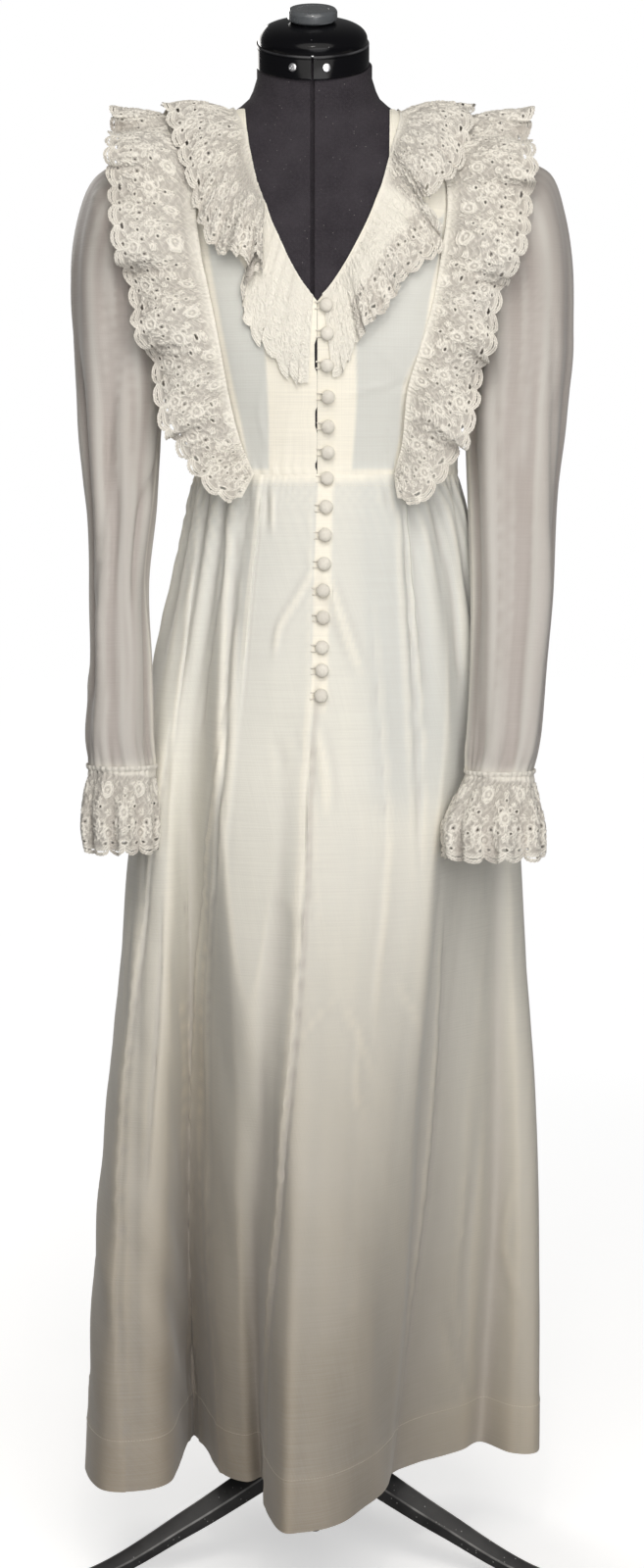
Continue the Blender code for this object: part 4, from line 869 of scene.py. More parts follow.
@dataclass(frozen=True)
class VoileFinish:
    """Sheer ivory voile: cream where it is doubled, greyer where one layer lets the dark through, with
    painted shade in its grooves and towards the hem.
    """

    name: str = "ivory_voile"
    doubled: tuple = (0.925, 0.88, 0.755)
    single: tuple = (0.645, 0.652, 0.610)
    shadow: tuple = (0.40, 0.355, 0.325)
    # Painted shade: the cloth darkens towards the hem, and low down it darkens more except towards the
    # wearer's left
    falloff_shade: tuple = (0.53, 0.48, 0.43)
    low_side_shade: tuple = (0.70, 0.67, 0.64)
    # Heights between which the painted shade towards the hem comes in
    falloff_span: tuple = (0.86, 0.06)
    slub_depth: float = 0.00012

    def build(self, effects: Effects) -> bpy.types.Material:
        """Make the material, which reads the cloth's UVs, its layer value, which also carries painted
        highlights, and its painted shade value.
        """
        p = Painter(effects, self.name, {"Roughness": 0.72, "Sheen Weight": 0.25, "Sheen Roughness": 0.45})
        weave, patches = p.weave(p.cloth, 1100.0, 1.0), p.mottle(9.0)
        colour = p.blend(p.named("layer_and_highlight"), self.single, self.doubled)
        place = p.add("ShaderNodeSeparateXYZ", {0: p.solid}).outputs
        # Painted shade towards the hem, then more of it low down, fading out towards the wearer's left
        colour = p.blend(p.span(place[2], *self.falloff_span), colour, self.falloff_shade, "MULTIPLY")
        low_side_shade = p.math("MULTIPLY", p.span(place[2], 0.75, 0.25), p.span(place[0], 0.16, 0.04))
        colour = p.blend(low_side_shade, colour, self.low_side_shade, "MULTIPLY")
        colour = p.blend(p.math("MULTIPLY", p.named("shade"), 1.0, True), colour, self.shadow)
        slubs = weave["Slubs"]
        colour = p.tint(slubs, 0.17, colour, (0.56, 0.53, 0.49))
        colour = p.tint(patches, 0.10, colour, (0.70, 0.68, 0.66))
        p.feed(p.shader, {"Base Color": colour, "Roughness": p.span(slubs, 0.0, 1.0, (0.66, 0.82))})
        p.bump(p.math("ADD", p.math("MULTIPLY", weave["Height"], 0.35), slubs), self.slub_depth, 0.7)
        return p.material


@dataclass(frozen=True)
class LaceFinish:
    """Cream corded lace: raised motifs, fine net between them and open gaps."""

    name: str = "cream_lace"
    # The sunk colour paints shade on the lace's low ground, and the folds colour paints shade in its folds
    raised: tuple = (0.875, 0.835, 0.745)
    sunk: tuple = (0.48, 0.445, 0.395)
    backed: tuple = (0.88, 0.845, 0.75)
    folds: tuple = (0.46, 0.42, 0.375)
    net_pitch: float = 620.0
    net_slant: float = 0.6
    net_open: float = 0.25
    thread_depth: float = 0.0003

    def build(self, effects: Effects) -> bpy.types.Material:
        """Make the material, which reads the lace's solid, gap, relief, backed and fold values."""
        p = Painter(effects, self.name, {"Roughness": 0.78, "Sheen Weight": 0.2, "Sheen Roughness": 0.5})
        solid, gap = p.span(p.named("solid"), 0.42, 0.58), p.span(p.named("gap"), 0.44, 0.56)
        relief, split, threads = p.named("relief"), p.add("ShaderNodeSeparateXYZ", {0: p.cloth}).outputs, []
        for slant in (self.net_slant, -self.net_slant):
            across = p.math("ADD", split[0], p.math("MULTIPLY", split[1], slant))
            turn = p.math("MULTIPLY", across, self.net_pitch * math.pi)
            threads.append(p.math("GREATER_THAN", p.math("ABSOLUTE", p.math("SINE", turn)), self.net_open))
        cloth = p.math("MAXIMUM", solid, p.math("MAXIMUM", *threads))
        fuzz, patches = p.mottle(900.0, place=p.cloth), p.mottle(14.0)
        # The relief sets the colour: painted shade on the low ground, lighter on the raised cords
        colour = p.blend(p.span(relief, 0.05, 0.75), self.sunk, self.raised)
        colour = p.tint(patches, 0.16, colour, (0.74, 0.73, 0.70))
        colour = p.tint(fuzz, 0.12, colour, self.sunk)
        colour = p.blend(p.math("MULTIPLY", p.named("backed"), 0.8), colour, self.backed)
        # Painted shade in the ruffles' folds
        colour = p.blend(p.math("MULTIPLY", p.named("fold"), 0.75, True), colour, self.folds)
        alpha = p.math("MULTIPLY", cloth, p.math("SUBTRACT", 1.0, gap))
        p.feed(p.shader, {"Base Color": colour, "Alpha": alpha})
        p.bump(p.math("ADD", p.math("MULTIPLY", relief, 3.0), fuzz), self.thread_depth, 0.8)
        return p.material


@dataclass(frozen=True)
class PlainClothFinish:
    """Satin, thread or knit: one colour with its weave, mottling and lint."""

    name: str
    colour: tuple
    worn: tuple
    roughness: float = 0.6
    sheen: float = 0.2
    threads: float = 900.0
    lint: float = 0.0
    depth: float = 0.00015
    shine: float = 0.5

    def build(self, effects: Effects) -> bpy.types.Material:
        """Make the material on object coordinates."""
        p = Painter(effects, self.name, {
            "Roughness": self.roughness, "Sheen Weight": self.sheen, "Sheen Roughness": 0.5,
            "Specular IOR Level": self.shine,
        })
        turned = p.add("ShaderNodeMapping", {"Vector": p.solid, "Rotation": (math.pi / 2, 0.0, 0.0)})
        weave = p.weave(turned.outputs[0], self.threads, 0.6)
        patches, fuzz = p.mottle(30.0, 4.0), p.mottle(420.0, 3.0)
        colour = p.tint(patches, 0.45, self.colour, self.worn)
        colour = p.blend(p.span(fuzz, 0.3, 1.0, (0.0, 0.35)), colour, self.worn)
        if self.lint:
            colour = p.tint(p.specks(420.0, self.lint), 0.35, colour, (0.45, 0.42, 0.40))
        rough = (self.roughness - 0.06, min(1.0, self.roughness + 0.08))
        p.feed(p.shader, {"Base Color": colour, "Roughness": p.span(fuzz, 0.0, 1.0, rough)})
        p.bump(p.math("ADD", weave["Height"], fuzz), self.depth, 0.8)
        return p.material


@dataclass(frozen=True)
class HardFinish:
    """Plastic, steel or rubber: clean faces, scuffed edges, a little dust, and a painted highlight where the
    wear value marks one, as on the neck band's top edge.
    """

    name: str
    colour: tuple
    scuff_and_highlight: tuple
    roughness: float
    metallic: float = 0.0
    coat: float = 0.0
    grain: float = 0.0
    specks: float = 0.06
    speck_scale: float = 340.0
    see_through: float = 0.0
    shine: float = 0.5

    def build(self, effects: Effects) -> bpy.types.Material:
        """Make the material on object coordinates."""
        p = Painter(effects, self.name, {
            "Roughness": self.roughness, "Metallic": self.metallic, "Coat Weight": self.coat,
            "Coat Roughness": 0.08, "Transmission Weight": self.see_through, "Specular IOR Level": self.shine,
        })
        haze, specks = p.mottle(26.0, 5.0), p.specks(self.speck_scale, self.specks)
        # The wear value is real wear, and on the neck band a painted highlight
        worn = p.math("MULTIPLY", p.named("wear_and_highlight"), p.span(haze, 0.2, 0.8, (0.3, 1.0)))
        colour = p.blend(p.math("MAXIMUM", worn, p.math("MULTIPLY", specks, 0.7)), self.colour, self.scuff_and_highlight)
        rough = (self.roughness, min(1.0, self.roughness * 1.35 + 0.03))
        p.feed(p.shader, {"Base Color": colour, "Roughness": p.span(haze, 0.0, 1.0, rough)})
        p.bump(p.mottle(700.0), 0.0001, self.grain)
        return p.material


class Wardrobe(dict):
    """Every finish of the dress, the form and the stand, by its slot's name."""

    def __init__(self) -> None:
        """Build the shared effects and the materials."""
        super().__init__()
        effects, cloth, hard = Effects(), PlainClothFinish, HardFinish
        finishes = {
            "voile": VoileFinish(),
            "lace": LaceFinish(),
            "button_cloth": cloth("ivory_satin", (0.78, 0.745, 0.66), (0.60, 0.56, 0.49), 0.5, 0.3),
            "thread": cloth("cream_thread", (0.84, 0.80, 0.69), (0.66, 0.61, 0.50), 0.6, 0.2, 2600.0),
            "form_knit": cloth(
                "charcoal_jersey", (0.030, 0.026, 0.031), (0.062, 0.055, 0.063), 0.93, 0.02, 520.0,
                lint=0.035, depth=0.0004, shine=0.15,
            ),
            "black_plastic": hard(
                "black_gloss", (0.004, 0.004, 0.005), (0.20, 0.20, 0.21), 0.12, grain=0.05, specks=0.012,
                shine=0.16,
            ),
            "knob_plastic": hard(
                "smoky_knob", (0.14, 0.15, 0.16), (0.42, 0.43, 0.45), 0.20, coat=0.3, see_through=0.35
            ),
            "screw_steel": hard("screw_steel", (0.62, 0.62, 0.64), (0.85, 0.85, 0.86), 0.24, metallic=1.0),
            "stand_plastic": hard(
                "speckled_black", (0.010, 0.010, 0.011), (0.55, 0.54, 0.52), 0.38, grain=0.4, specks=0.10
            ),
            "foot_rubber": hard("foot_rubber", (0.018, 0.018, 0.018), (0.09, 0.085, 0.08), 0.85, grain=0.9),
        }
        for key, finish in finishes.items():
            self[key] = finish.build(effects)


# The dress form and its stand


def placed(points: Array, matrix: Matrix) -> Array:
    """Points moved by a matrix in the part's frame, then measured from the form's axis."""
    return to_world(points @ np.array(matrix.to_3x3()).T + np.array(matrix.translation))


@dataclass
class SolidMaker:
    """Builds closed solids from rings and profiles, with worn edges and painted highlights marked."""

    finishes: Wardrobe
    sharp: float = math.radians(32)

    def loft(
        self, name: str, rings: Array, finish: str, nodes: Sequence[str], wear_and_highlight: Array | float = 0.0
    ) -> None:
        """Make a closed solid through rings of points measured from the form's axis.

        Args:
            name: the piece's name.
            rings: points by ring and place round it.
            finish: the slot whose material it takes.
            nodes: the CAD nodes that it stands for.
            wear_and_highlight: how worn each point is, from zero to one; on the neck band it marks a painted
                highlight.
        """
        rows, columns = rings.shape[:2]
        top = (rows - 1) * columns
        faces = lattice(rows, columns, columns)[2].reshape(-1, 4).tolist()
        faces += [list(range(columns))[::-1], list(range(top, top + columns))]
        mesh = bpy.data.meshes.new(name)
        world = to_world(rings).reshape(-1, 3)
        mesh.from_pydata(world.tolist(), [], faces)
        mesh.update()
        middle = Vector(world.mean(axis=0))
        if sum((p.center - middle).dot(p.normal) * p.area for p in mesh.polygons) < 0:
            mesh.flip_normals()
        add_values(mesh, "wear_and_highlight", np.broadcast_to(wear_and_highlight, (rows, columns)).reshape(-1))
        mesh.shade_smooth()
        mesh.set_sharp_from_angle(angle=self.sharp)
        ride_and_slot(new_object(name, mesh, self.finishes[finish]), nodes)

    def turn(
        self, name: str, profile: Sequence, sides: int, finish: str, nodes: Sequence[str], matrix: Matrix,
        wear_and_highlight: Sequence = (0.0,),
    ) -> None:
        """Make a turned solid.

        Args:
            name: the piece's name.
            profile: radius and height of each ring.
            sides: how many points go round it.
            finish: the slot whose material it takes.
            nodes: the CAD nodes that it stands for.
            matrix: where it stands in the part's frame.
            wear_and_highlight: how worn the first rings are, one by one, and the last value for the rest.
        """
        radius, height = np.array(profile, float).T
        angles = np.linspace(0, TURN, sides, endpoint=False)
        ring = join(radius[:, None] * np.cos(angles), radius[:, None] * np.sin(angles), height[:, None])
        worn = np.interp(np.arange(len(profile)), np.arange(len(wear_and_highlight)), wear_and_highlight)
        self.loft(name, placed(ring, matrix), finish, nodes, worn[:, None])


def rounded(profile: Sequence[tuple[float, float]], radius: float, steps: int = 4) -> list[Array]:
    """Round the inner corners of an open profile.

    Args:
        profile: points in a plane.
        radius: how far from each corner the rounding starts.
        steps: how many points each corner gets.

    Returns:
        The profile with short curves for corners.
    """
    spots = [np.array(p, float) for p in profile]
    result = [spots[0]]
    for before, here, after in zip(spots, spots[1:], spots[2:]):
        sides = (before - here, after - here)
        first, last = (np.linalg.norm(side) for side in sides)
        reach = min(radius, first * 0.45, last * 0.45)
        start, end = here + reach * sides[0] / first, here + reach * sides[1] / last
        for t in np.linspace(0, 1, steps):
            result.append((1 - t) ** 2 * start + 2 * t * (1 - t) * here + t * t * end)
    return [*result, spots[-1]]


@dataclass
class DressForm:
    """The knit-covered torso in two halves, its neck band, domed cap, knob and plate."""

    solids: SolidMaker
    shape: FormShape
    slit_round: float = 0.0022
    # Distances from the slit, in radii of its rounded edge
    slit_curve: tuple = (0.0, 0.15, 0.45, 0.9, 1.5)
    arc_columns: int = 84
    row_step: float = 0.008
    bottom_z: float = 0.858
    shoulder_z: float = 1.5470
    # Levels of the neck, and how much of the neck band's lean each has
    neck_bends: tuple = ((1.5545, 0.25), (1.5620, 0.6), (1.575, 0.85))
    spine_back: float = 0.008
    band_z: float = 1.6005
    band_height: float = 0.0245
    # Half width and half depth
    band_size: tuple = (0.0590, 0.0560)
    band_round: float = 0.0024
    tilt: float = math.radians(22.0)
    # Radius and height, as are the knob's and the screws'
    cap_size: tuple = (0.0570, 0.022)
    knob_size: tuple = (0.0258, 0.013)
    # Each screw's side and its x
    screws: tuple = (("right", -0.022), ("left", 0.0125))
    screw_size: tuple = (0.0045, 0.0022)
    screw_proud: float = 0.0006
    # Down the plate's edge: drop and distance in
    plate_edge: tuple = (
        (0.0, 0.0016), (0.0006, 0.0004), (0.0016, 0.0), (0.0084, 0.0), (0.0095, 0.0005), (0.010, 0.002),
    )

    def build(self) -> None:
        """Make every piece of the form."""
        for side in Side:
            self.build_half(side)
            self.build_band(side)
        self.build_spine()
        self.build_screws()
        self.build_top()
        self.build_plate()

    def lean(self, fore: Array | float, level: float, share: float = 1.0) -> Array | float:
        """Height on a plane that leans forward, as the neck band does at a share of one."""
        return level - fore * math.tan(self.tilt) * share

    def half_ring(self, z: float, side: Side) -> Array:
        """Points round one half of the form, rounded where it meets the slit."""
        slit = FORM_SLIT_X + side.value * FORM_SLIT / 2
        inward = np.array(self.slit_curve) * self.slit_round
        front = self.shape.angle_at_x(np.full(1, z), slit + side.value * inward)
        last = front[-1]
        turn = TURN if side is Side.RIGHT else 0.0
        arc = np.linspace(last, turn - last, self.arc_columns)[1:-1]
        angles = np.concatenate([front, arc, turn - front[::-1]])
        points = self.shape.point(np.full(len(angles), z), angles)
        short = np.maximum(self.slit_round - np.abs(points[:, 0] - slit), 0)
        depth = self.slit_round - np.sqrt(np.maximum(self.slit_round**2 - short**2, 0))
        centre = np.array([slit + side.value * 0.03, 0.0, z])
        return points + unit(centre - points) * np.minimum(depth, self.slit_round)[:, None]

    def build_half(self, side: Side) -> None:
        """One half of the torso, from the plate to the neck band."""
        top = FORM_SECTIONS[-1][0] * MM
        rings = [self.half_ring(z, side) for z in np.arange(self.bottom_z, self.shoulder_z, self.row_step)]
        for level, share in (*self.neck_bends, (self.band_z - self.band_height / 2 - GAP, 1.0)):
            ring = self.half_ring(min(level, top), side)
            rings.append(join(ring[:, 0], ring[:, 1], self.lean(ring[:, 1], level, share)))
        self.solids.loft(f"form_half_{side.word}", np.array(rings), "form_knit", [f"torso_{side.word}"])

    def build_spine(self) -> None:
        """The dark spine that fills the slit between the halves, set back from their front."""
        rings = []
        for level in np.linspace(self.bottom_z + 0.004, self.band_z - 0.0095, 48):
            z = np.full(1, min(level, FORM_SECTIONS[-1][0] * MM))
            front = self.shape.point(z, self.shape.angle_at_x(z, np.array([FORM_SLIT_X])))[0, 1]
            side = np.array([-1, 0, 1, 1, -1]) * FORM_SLIT + FORM_SLIT_X
            rings.append(join(side, np.array([front, front, front, 0.0, 0.0]) - self.spine_back, level))
        self.solids.loft("form_spine", np.array(rings), "form_knit", [])

    def build_band(self, side: Side) -> None:
        """One half of the glossy neck band, with a lip along its top edge."""
        low, high = self.band_z - self.band_height / 2, self.band_z + self.band_height / 2
        slit = FORM_SLIT_X + side.value * FORM_SLIT / 2
        corners = [
            (low, 0.004), (low, 0.0), (high - 0.0042, 0.0), (high - 0.0038, 0.0006), (high - 0.0034, 0.0006),
            (high - 0.0030, 0.0), (high, 0.0), (high, 0.004),
        ]
        heights, inward = np.array(rounded(corners, self.band_round, 5)).T[..., None]
        angles = np.linspace(-math.pi / 2, math.pi / 2, 64)
        x = slit + side.value * (self.band_size[0] - inward - FORM_SLIT / 2) * np.cos(angles)
        fore = (self.band_size[1] - inward) * np.sin(angles)
        rings = join(x, fore, self.lean(fore, heights))
        # A painted highlight line along the top edge, carried by the wear value
        wear_and_highlight = np.where(heights > high - 0.0026, 0.35, 0.0)
        name = f"neck_band_{side.word}"
        self.solids.loft(f"neck_ring_{side.word}", rings, "black_plastic", [name], wear_and_highlight)

    def build_screws(self) -> None:
        """The two pan head screws with cross recesses."""
        radius, height = self.screw_size
        rings = [(0.0005 * k / 2, 1.0) for k in range(1, 3)]
        rings += [(radius * t, math.sqrt(1 - 0.55 * t * t)) for t in np.linspace(0.22, 0.90, 14)]
        rings += [(radius * 0.97, 0.52), (radius, 0.30), (radius, 0.0)]
        reach, level = np.array(rings).T[..., None]
        angles = np.linspace(0, TURN, 64, endpoint=False)
        px, py = reach * np.cos(angles), reach * np.sin(angles)
        cross = np.minimum(np.abs(px), np.abs(py)) < radius * 0.13
        sunk = np.where(cross & (reach < radius * 0.62), 0.0011, 0.0)
        local = join(px, py, level * height - sunk)[::-1]
        width, depth = self.band_size
        for word, x in self.screws:
            fore = depth * math.sqrt(1 - ((x - FORM_SLIT_X) / width) ** 2) + self.screw_proud
            spot = Matrix.Translation((x, AXIS_Y - fore, self.lean(fore, self.band_z)))
            facing = Matrix.Rotation(math.asin(x / width), 4, "Z") @ Matrix.Rotation(math.pi / 2, 4, "X")
            matrix = spot @ facing @ Matrix.Rotation(0.5 + x * 9, 4, "Z")
            rings = placed(local, matrix)
            self.solids.loft(f"band_screw_{word}", rings, "screw_steel", [f"neck_screw_{word}"], 0.3)

    def build_top(self) -> None:
        """The domed cap on the neck and its height knob."""
        centre = Matrix.Translation((FORM_SLIT_X, AXIS_Y, self.band_z)) @ Matrix.Rotation(self.tilt, 4, "X")
        base = (self.band_height / 2 + GAP) * math.cos(self.tilt)
        cap = centre @ Matrix.Translation((0, 0, base))
        radius, height = self.cap_size
        turns = np.radians(np.linspace(88, 6, 26))
        dome = [(radius * math.cos(t) ** 0.6, height * (0.2 + 0.8 * math.sin(t))) for t in turns]
        rim = rounded([(radius, height * 0.2), (radius, 0.0), (0.002, 0.0)], 0.0008, 3)
        dome = [(0.0006, height), *dome, *rim]
        self.solids.turn("neck_dome", dome, 96, "black_plastic", ["neck_cap"], cap)
        radius, height = self.knob_size
        profile = rounded([
            (0.0006, height - 0.0008), (radius * 0.62, height - 0.0008), (radius * 0.66, height),
            (radius - 0.0022, height), (radius, height - 0.003), (radius, 0.0022), (radius - 0.003, 0.0),
            (0.0006, 0.0),
        ], 0.0012)
        knob = cap @ Matrix.Translation((0, 0, self.cap_size[1] + GAP))
        wear_and_highlight = (0.0, 0.1, 0.7, 0.3, 0.1, 0.0)
        self.solids.turn("height_knob", profile, 84, "knob_plastic", ["neck_knob"], knob, wear_and_highlight)

    def build_plate(self) -> None:
        """The black plate under the torso."""
        angles = np.linspace(0, TURN, 120, endpoint=False)
        outline = self.shape.point(np.full(120, self.bottom_z), angles)
        rings = []
        for drop, inward in self.plate_edge:
            ring = outline * (0.96 - inward / 0.15)
            rings.append(join(ring[:, 0], ring[:, 1], self.bottom_z - GAP - drop))
        self.solids.loft("form_plate", np.array(rings), "stand_plastic", ["torso_plate"], 0.05)


@dataclass
class TripodStand:
    """The pole, the hub and three ridged legs on rubber feet."""

    solids: SolidMaker
    finish: str = "stand_plastic"
    # Radius, the radius inside the hub, then the lowest and highest levels
    pole: tuple = (0.0125, 0.0050, 0.012, 0.8474)
    # Radius, lowest and highest levels
    hub: tuple = (0.024, 0.088, 0.150)
    # Each leg's place and its direction in degrees
    legs: tuple = (("front_left", -30.0), ("front_right", -150.0), ("back", 90.0))
    foot_radius: float = 0.290
    # Radius and height
    foot: tuple = (0.014, 0.009)
    # Along a leg: distance from the axis, half width, lowest and highest levels
    sections: tuple = (
        (0.0244, 0.0160, 0.0920, 0.1280), (0.160, 0.0135, 0.0405, 0.0660),
        (0.272, 0.0110, 0.0093, 0.0235), (0.304, 0.0105, 0.0093, 0.0190),
    )
    # A leg's outline: side, then its lowest, middle or highest level
    corners: tuple = ((-1, 0), (1, 0), (1, 1), (0, 2), (-1, 1))

    def build(self) -> None:
        """Make the stand."""
        radius, foot, bottom, top = self.pole
        hub_radius, hub_low, hub_high = self.hub
        step, inner, bore = hub_high + GAP, radius - 0.0006, foot + GAP
        profile = rounded([
            (0.0006, top), (radius, top), (radius, 0.5006), (inner, 0.5000), (inner, 0.4960),
            (radius, 0.4954), (radius, step), (foot, step), (foot, bottom), (0.0006, bottom),
        ], 0.0006, 3)
        axis = Matrix.Translation((0.0, AXIS_Y, 0.0))
        self.solids.turn("stand_pole", profile, 48, self.finish, ["pole"], axis)
        ring = rounded([
            (bore, hub_high), (hub_radius - 0.006, hub_high), (hub_radius, hub_high - 0.010),
            (hub_radius, hub_low), (bore, hub_low), (bore, hub_high),
        ], 0.0015)
        wear_and_highlight = (0.1, 0.5, 0.2, 0.1, 0.2)
        self.solids.turn("stand_hub", ring[:-1], 60, self.finish, ["tripod_hub"], axis, wear_and_highlight)
        for word, degrees in self.legs:
            self.build_leg(word, math.radians(degrees))

    def build_leg(self, word: str, angle: float) -> None:
        """One leg, its edges worn and speckled, and its foot."""
        along = np.array([math.cos(angle), -math.sin(angle), 0.0])
        across = np.array([math.sin(angle), math.cos(angle), 0.0])
        reach = np.interp(np.linspace(0, 3, 46), np.arange(4), [s[0] for s in self.sections])
        half, low, high = SmoothTable(self.sections).at(reach).T
        rings, wear_and_highlight = [], []
        for place, width, *heights in zip(reach, half, low, (low + high) / 2, high):
            shape = [(side * width, heights[level]) for side, level in self.corners]
            closed = rounded([shape[-1], *shape, shape[0]], 0.0016, 5)[1:-1]
            rings.append([place * along + side * across + np.array([0, 0, z]) for side, z in closed])
            wear_and_highlight.append([1.0 if i % 5 in (1, 2, 3) and i > 9 else 0.1 for i in range(len(closed))])
        nodes = [f"leg_{word}"]
        self.solids.loft(f"stand_leg_{word}", np.array(rings), self.finish, nodes, np.array(wear_and_highlight) * 0.5)
        radius, height = self.foot
        profile = rounded([
            (0.0006, height), (radius - 0.002, height), (radius - 0.0004, 0.0045), (radius - 0.001, 0.0040),
            (radius, 0.0034), (radius, 0.0), (radius - 0.004, 0.0), (0.0006, 0.0),
        ], 0.0008, 3)
        spot = Matrix.Translation(to_world(along * self.foot_radius))
        self.solids.turn(f"stand_foot_{word}", profile, 48, "foot_rubber", [f"foot_{word}"], spot)


# The dress


def sew(
    grid: ClothGrid, finishes: Wardrobe, node: str
) -> None:
    """Args:
        grid: the cloth's points.
        finishes: the finishes to take the voile from.
        node: the CAD node that it stands for.
    """
    obj = grid.build(finishes["voile"], CLOTH)
    ride_and_slot(obj, [node])


@dataclass
class Bodice:
    """The fitted bodice: two centre fronts, two side fronts and a back."""

    finishes: Wardrobe
    shape: FormShape
    row_step: float = 0.0038
    top_z: float = 1.5385
    base: float = 0.0002
    rest_dip: float = 0.0009
    seam_gap: float = 0.00012
    seam_allowance: float = 0.02
    pucker_pitch: float = 0.0085
    gather_pitch: float = 0.011
    single_top_z: float = 1.475
    # Levels between which the front edge gapes
    slits: tuple = ((1.1675, 1.1819), (1.2085, 1.2351), (1.2675, 1.3027))
    slit_depth: float = 0.011
    rests: tuple = ("form_half_right", "form_half_left")

    def rows(self) -> Array:
        """Heights of the rows of points."""
        return np.linspace(WAIST_Z, self.top_z, int((self.top_z - WAIST_Z) / self.row_step))

    def armhole_fore(self, z: Array) -> Array:
        """Half depth of the armhole at heights, or zero above and below it."""
        centre, height, depth = ARMHOLE
        return depth * np.sqrt(np.maximum(0.0, 1.0 - ((z - centre) / height) ** 2))

    def edges(self, side: Side) -> tuple[Array, Array, Array]:
        """Angles of the front edge, the princess seam and the side edge, row by row."""
        z, column = self.rows(), int(side is Side.LEFT)
        neck, seam = (SmoothTable(t, (MM, -MM, MM)).columns(z)[column] for t in (NECKLINE, PRINCESS_SEAM))
        centre = self.shape.angle_at_x(z, np.where(z <= V_POINT_Z, FRONT_EDGE_X, neck))
        arm = self.shape.armhole_angle(z, self.armhole_fore(z), side)
        return centre, self.shape.angle_at_x(z, seam), arm

    def surface(self, z: Array, angle: Array) -> tuple[Array, Array]:
        """Points on the cloth's inside and the directions they face."""
        ridge = np.where(z >= REST_Z, np.maximum(0.0, 1.0 - np.abs(np.sin(angle)) / 0.3), 0.0)
        out = self.shape.clearance(z) + self.base - self.rest_dip * ridge
        points = self.shape.point(z, angle, out)
        return points, self.shape.normal(points)

    def layer_of(self, points: Array) -> Array:
        """One where the front is doubled and creamy, zero in its single-layer bands."""
        x, fore, z = np.moveaxis(points, -1, 0)
        bands = np.zeros(x.shape)
        for table in (SINGLE_BAND_RIGHT, SINGLE_BAND_LEFT):
            low, high = np.sort(SmoothTable(table, (MM, MM, MM)).columns(z), axis=0)
            bands += ease((x - low) / 0.004) * ease((high - x) / 0.003)
        lower = ease((self.single_top_z - z) / 0.05)
        return np.where(fore > 0, 1.0 - 0.95 * bands * lower, 1.0)

    def panel(self, name: str, start: Array, end: Array, columns: int, single: float, seed: int) -> None:
        """Make one panel between two edges.

        Args:
            name: the CAD node that it stands for.
            start: the first edge's angle, row by row.
            end: the last edge's angle, row by row.
            columns: how many columns of points.
            single: how see-through the panel is as a whole, from zero to one.
            seed: which set of fine puckers.
        """
        z = self.rows()[:, None] * np.ones(columns)
        angle = start[:, None] + (end - start)[:, None] * np.linspace(0, 1, columns)
        points, normals = self.surface(z, angle)
        width, waist = run_length(points, 1), z - WAIST_Z
        edge = np.minimum(width, width[:, -1:] - width)
        pucker = np.sin(TURN * z / self.pucker_pitch + 1.3 * ripples(width, z, seed, 3, (0.03, 0.08)))
        move = 0.00022 * pucker * bell_curve(edge, 0.008)
        move += 0.00035 * bell_curve(edge - 0.0045, 0.0016) - 0.0003 * bell_curve(edge, 0.0012)
        move += 0.0004 * np.sin(TURN * width / self.gather_pitch + seed) * bell_curve(waist, 0.016)
        move += 0.0005 * bell_curve(waist - 0.0035, 0.0018)
        move += 0.0006 * ripples(width, z, seed + 40, 5, (0.05, 0.14)) * ease(edge / 0.015)
        move += crease(points, normals, BODICE_CREASES)
        points = points + normals * np.maximum(move, -0.0008)[..., None]
        layer_and_highlight = np.maximum(self.layer_of(points) * (1.0 - single), bell_curve(edge, 0.0045))
        layer_and_highlight = np.maximum(layer_and_highlight, bell_curve(waist - 0.002, 0.004))
        uv = join(width + seed * 0.37, z)
        values = {"layer_and_highlight": layer_and_highlight, "shade": 0.05 * bell_curve(edge, 0.0012)}
        grid = ClothGrid(f"dress_{name}", points, normals, uv, values=values)
        sew(grid, self.finishes, name)

    def build(self) -> None:
        """Make the five panels."""
        gap, z = self.seam_gap / BODICE_RADIUS, self.rows()
        for side in Side:
            trim = side.value * gap
            centre, princess, arm = self.edges(side)
            if side is Side.RIGHT:
                for low, high in self.slits:
                    centre = centre + self.slit_depth * ease((z - low) / 0.006) * ease((high - z) / 0.006)
            seed = side.value
            self.panel(f"bodice_front_{side.word}", centre - trim, princess + trim, 46, 0.0, 3 + seed)
            self.panel(f"bodice_side_{side.word}", princess - trim, arm + trim, 40, 0.55, 11 + seed)
        fore = self.armhole_fore(z)
        start = math.pi - self.shape.angle_at_fore(z, -fore) + gap
        self.panel("bodice_back", start, TURN + self.shape.angle_at_fore(z, -fore) - gap, 118, 0.35, 21)


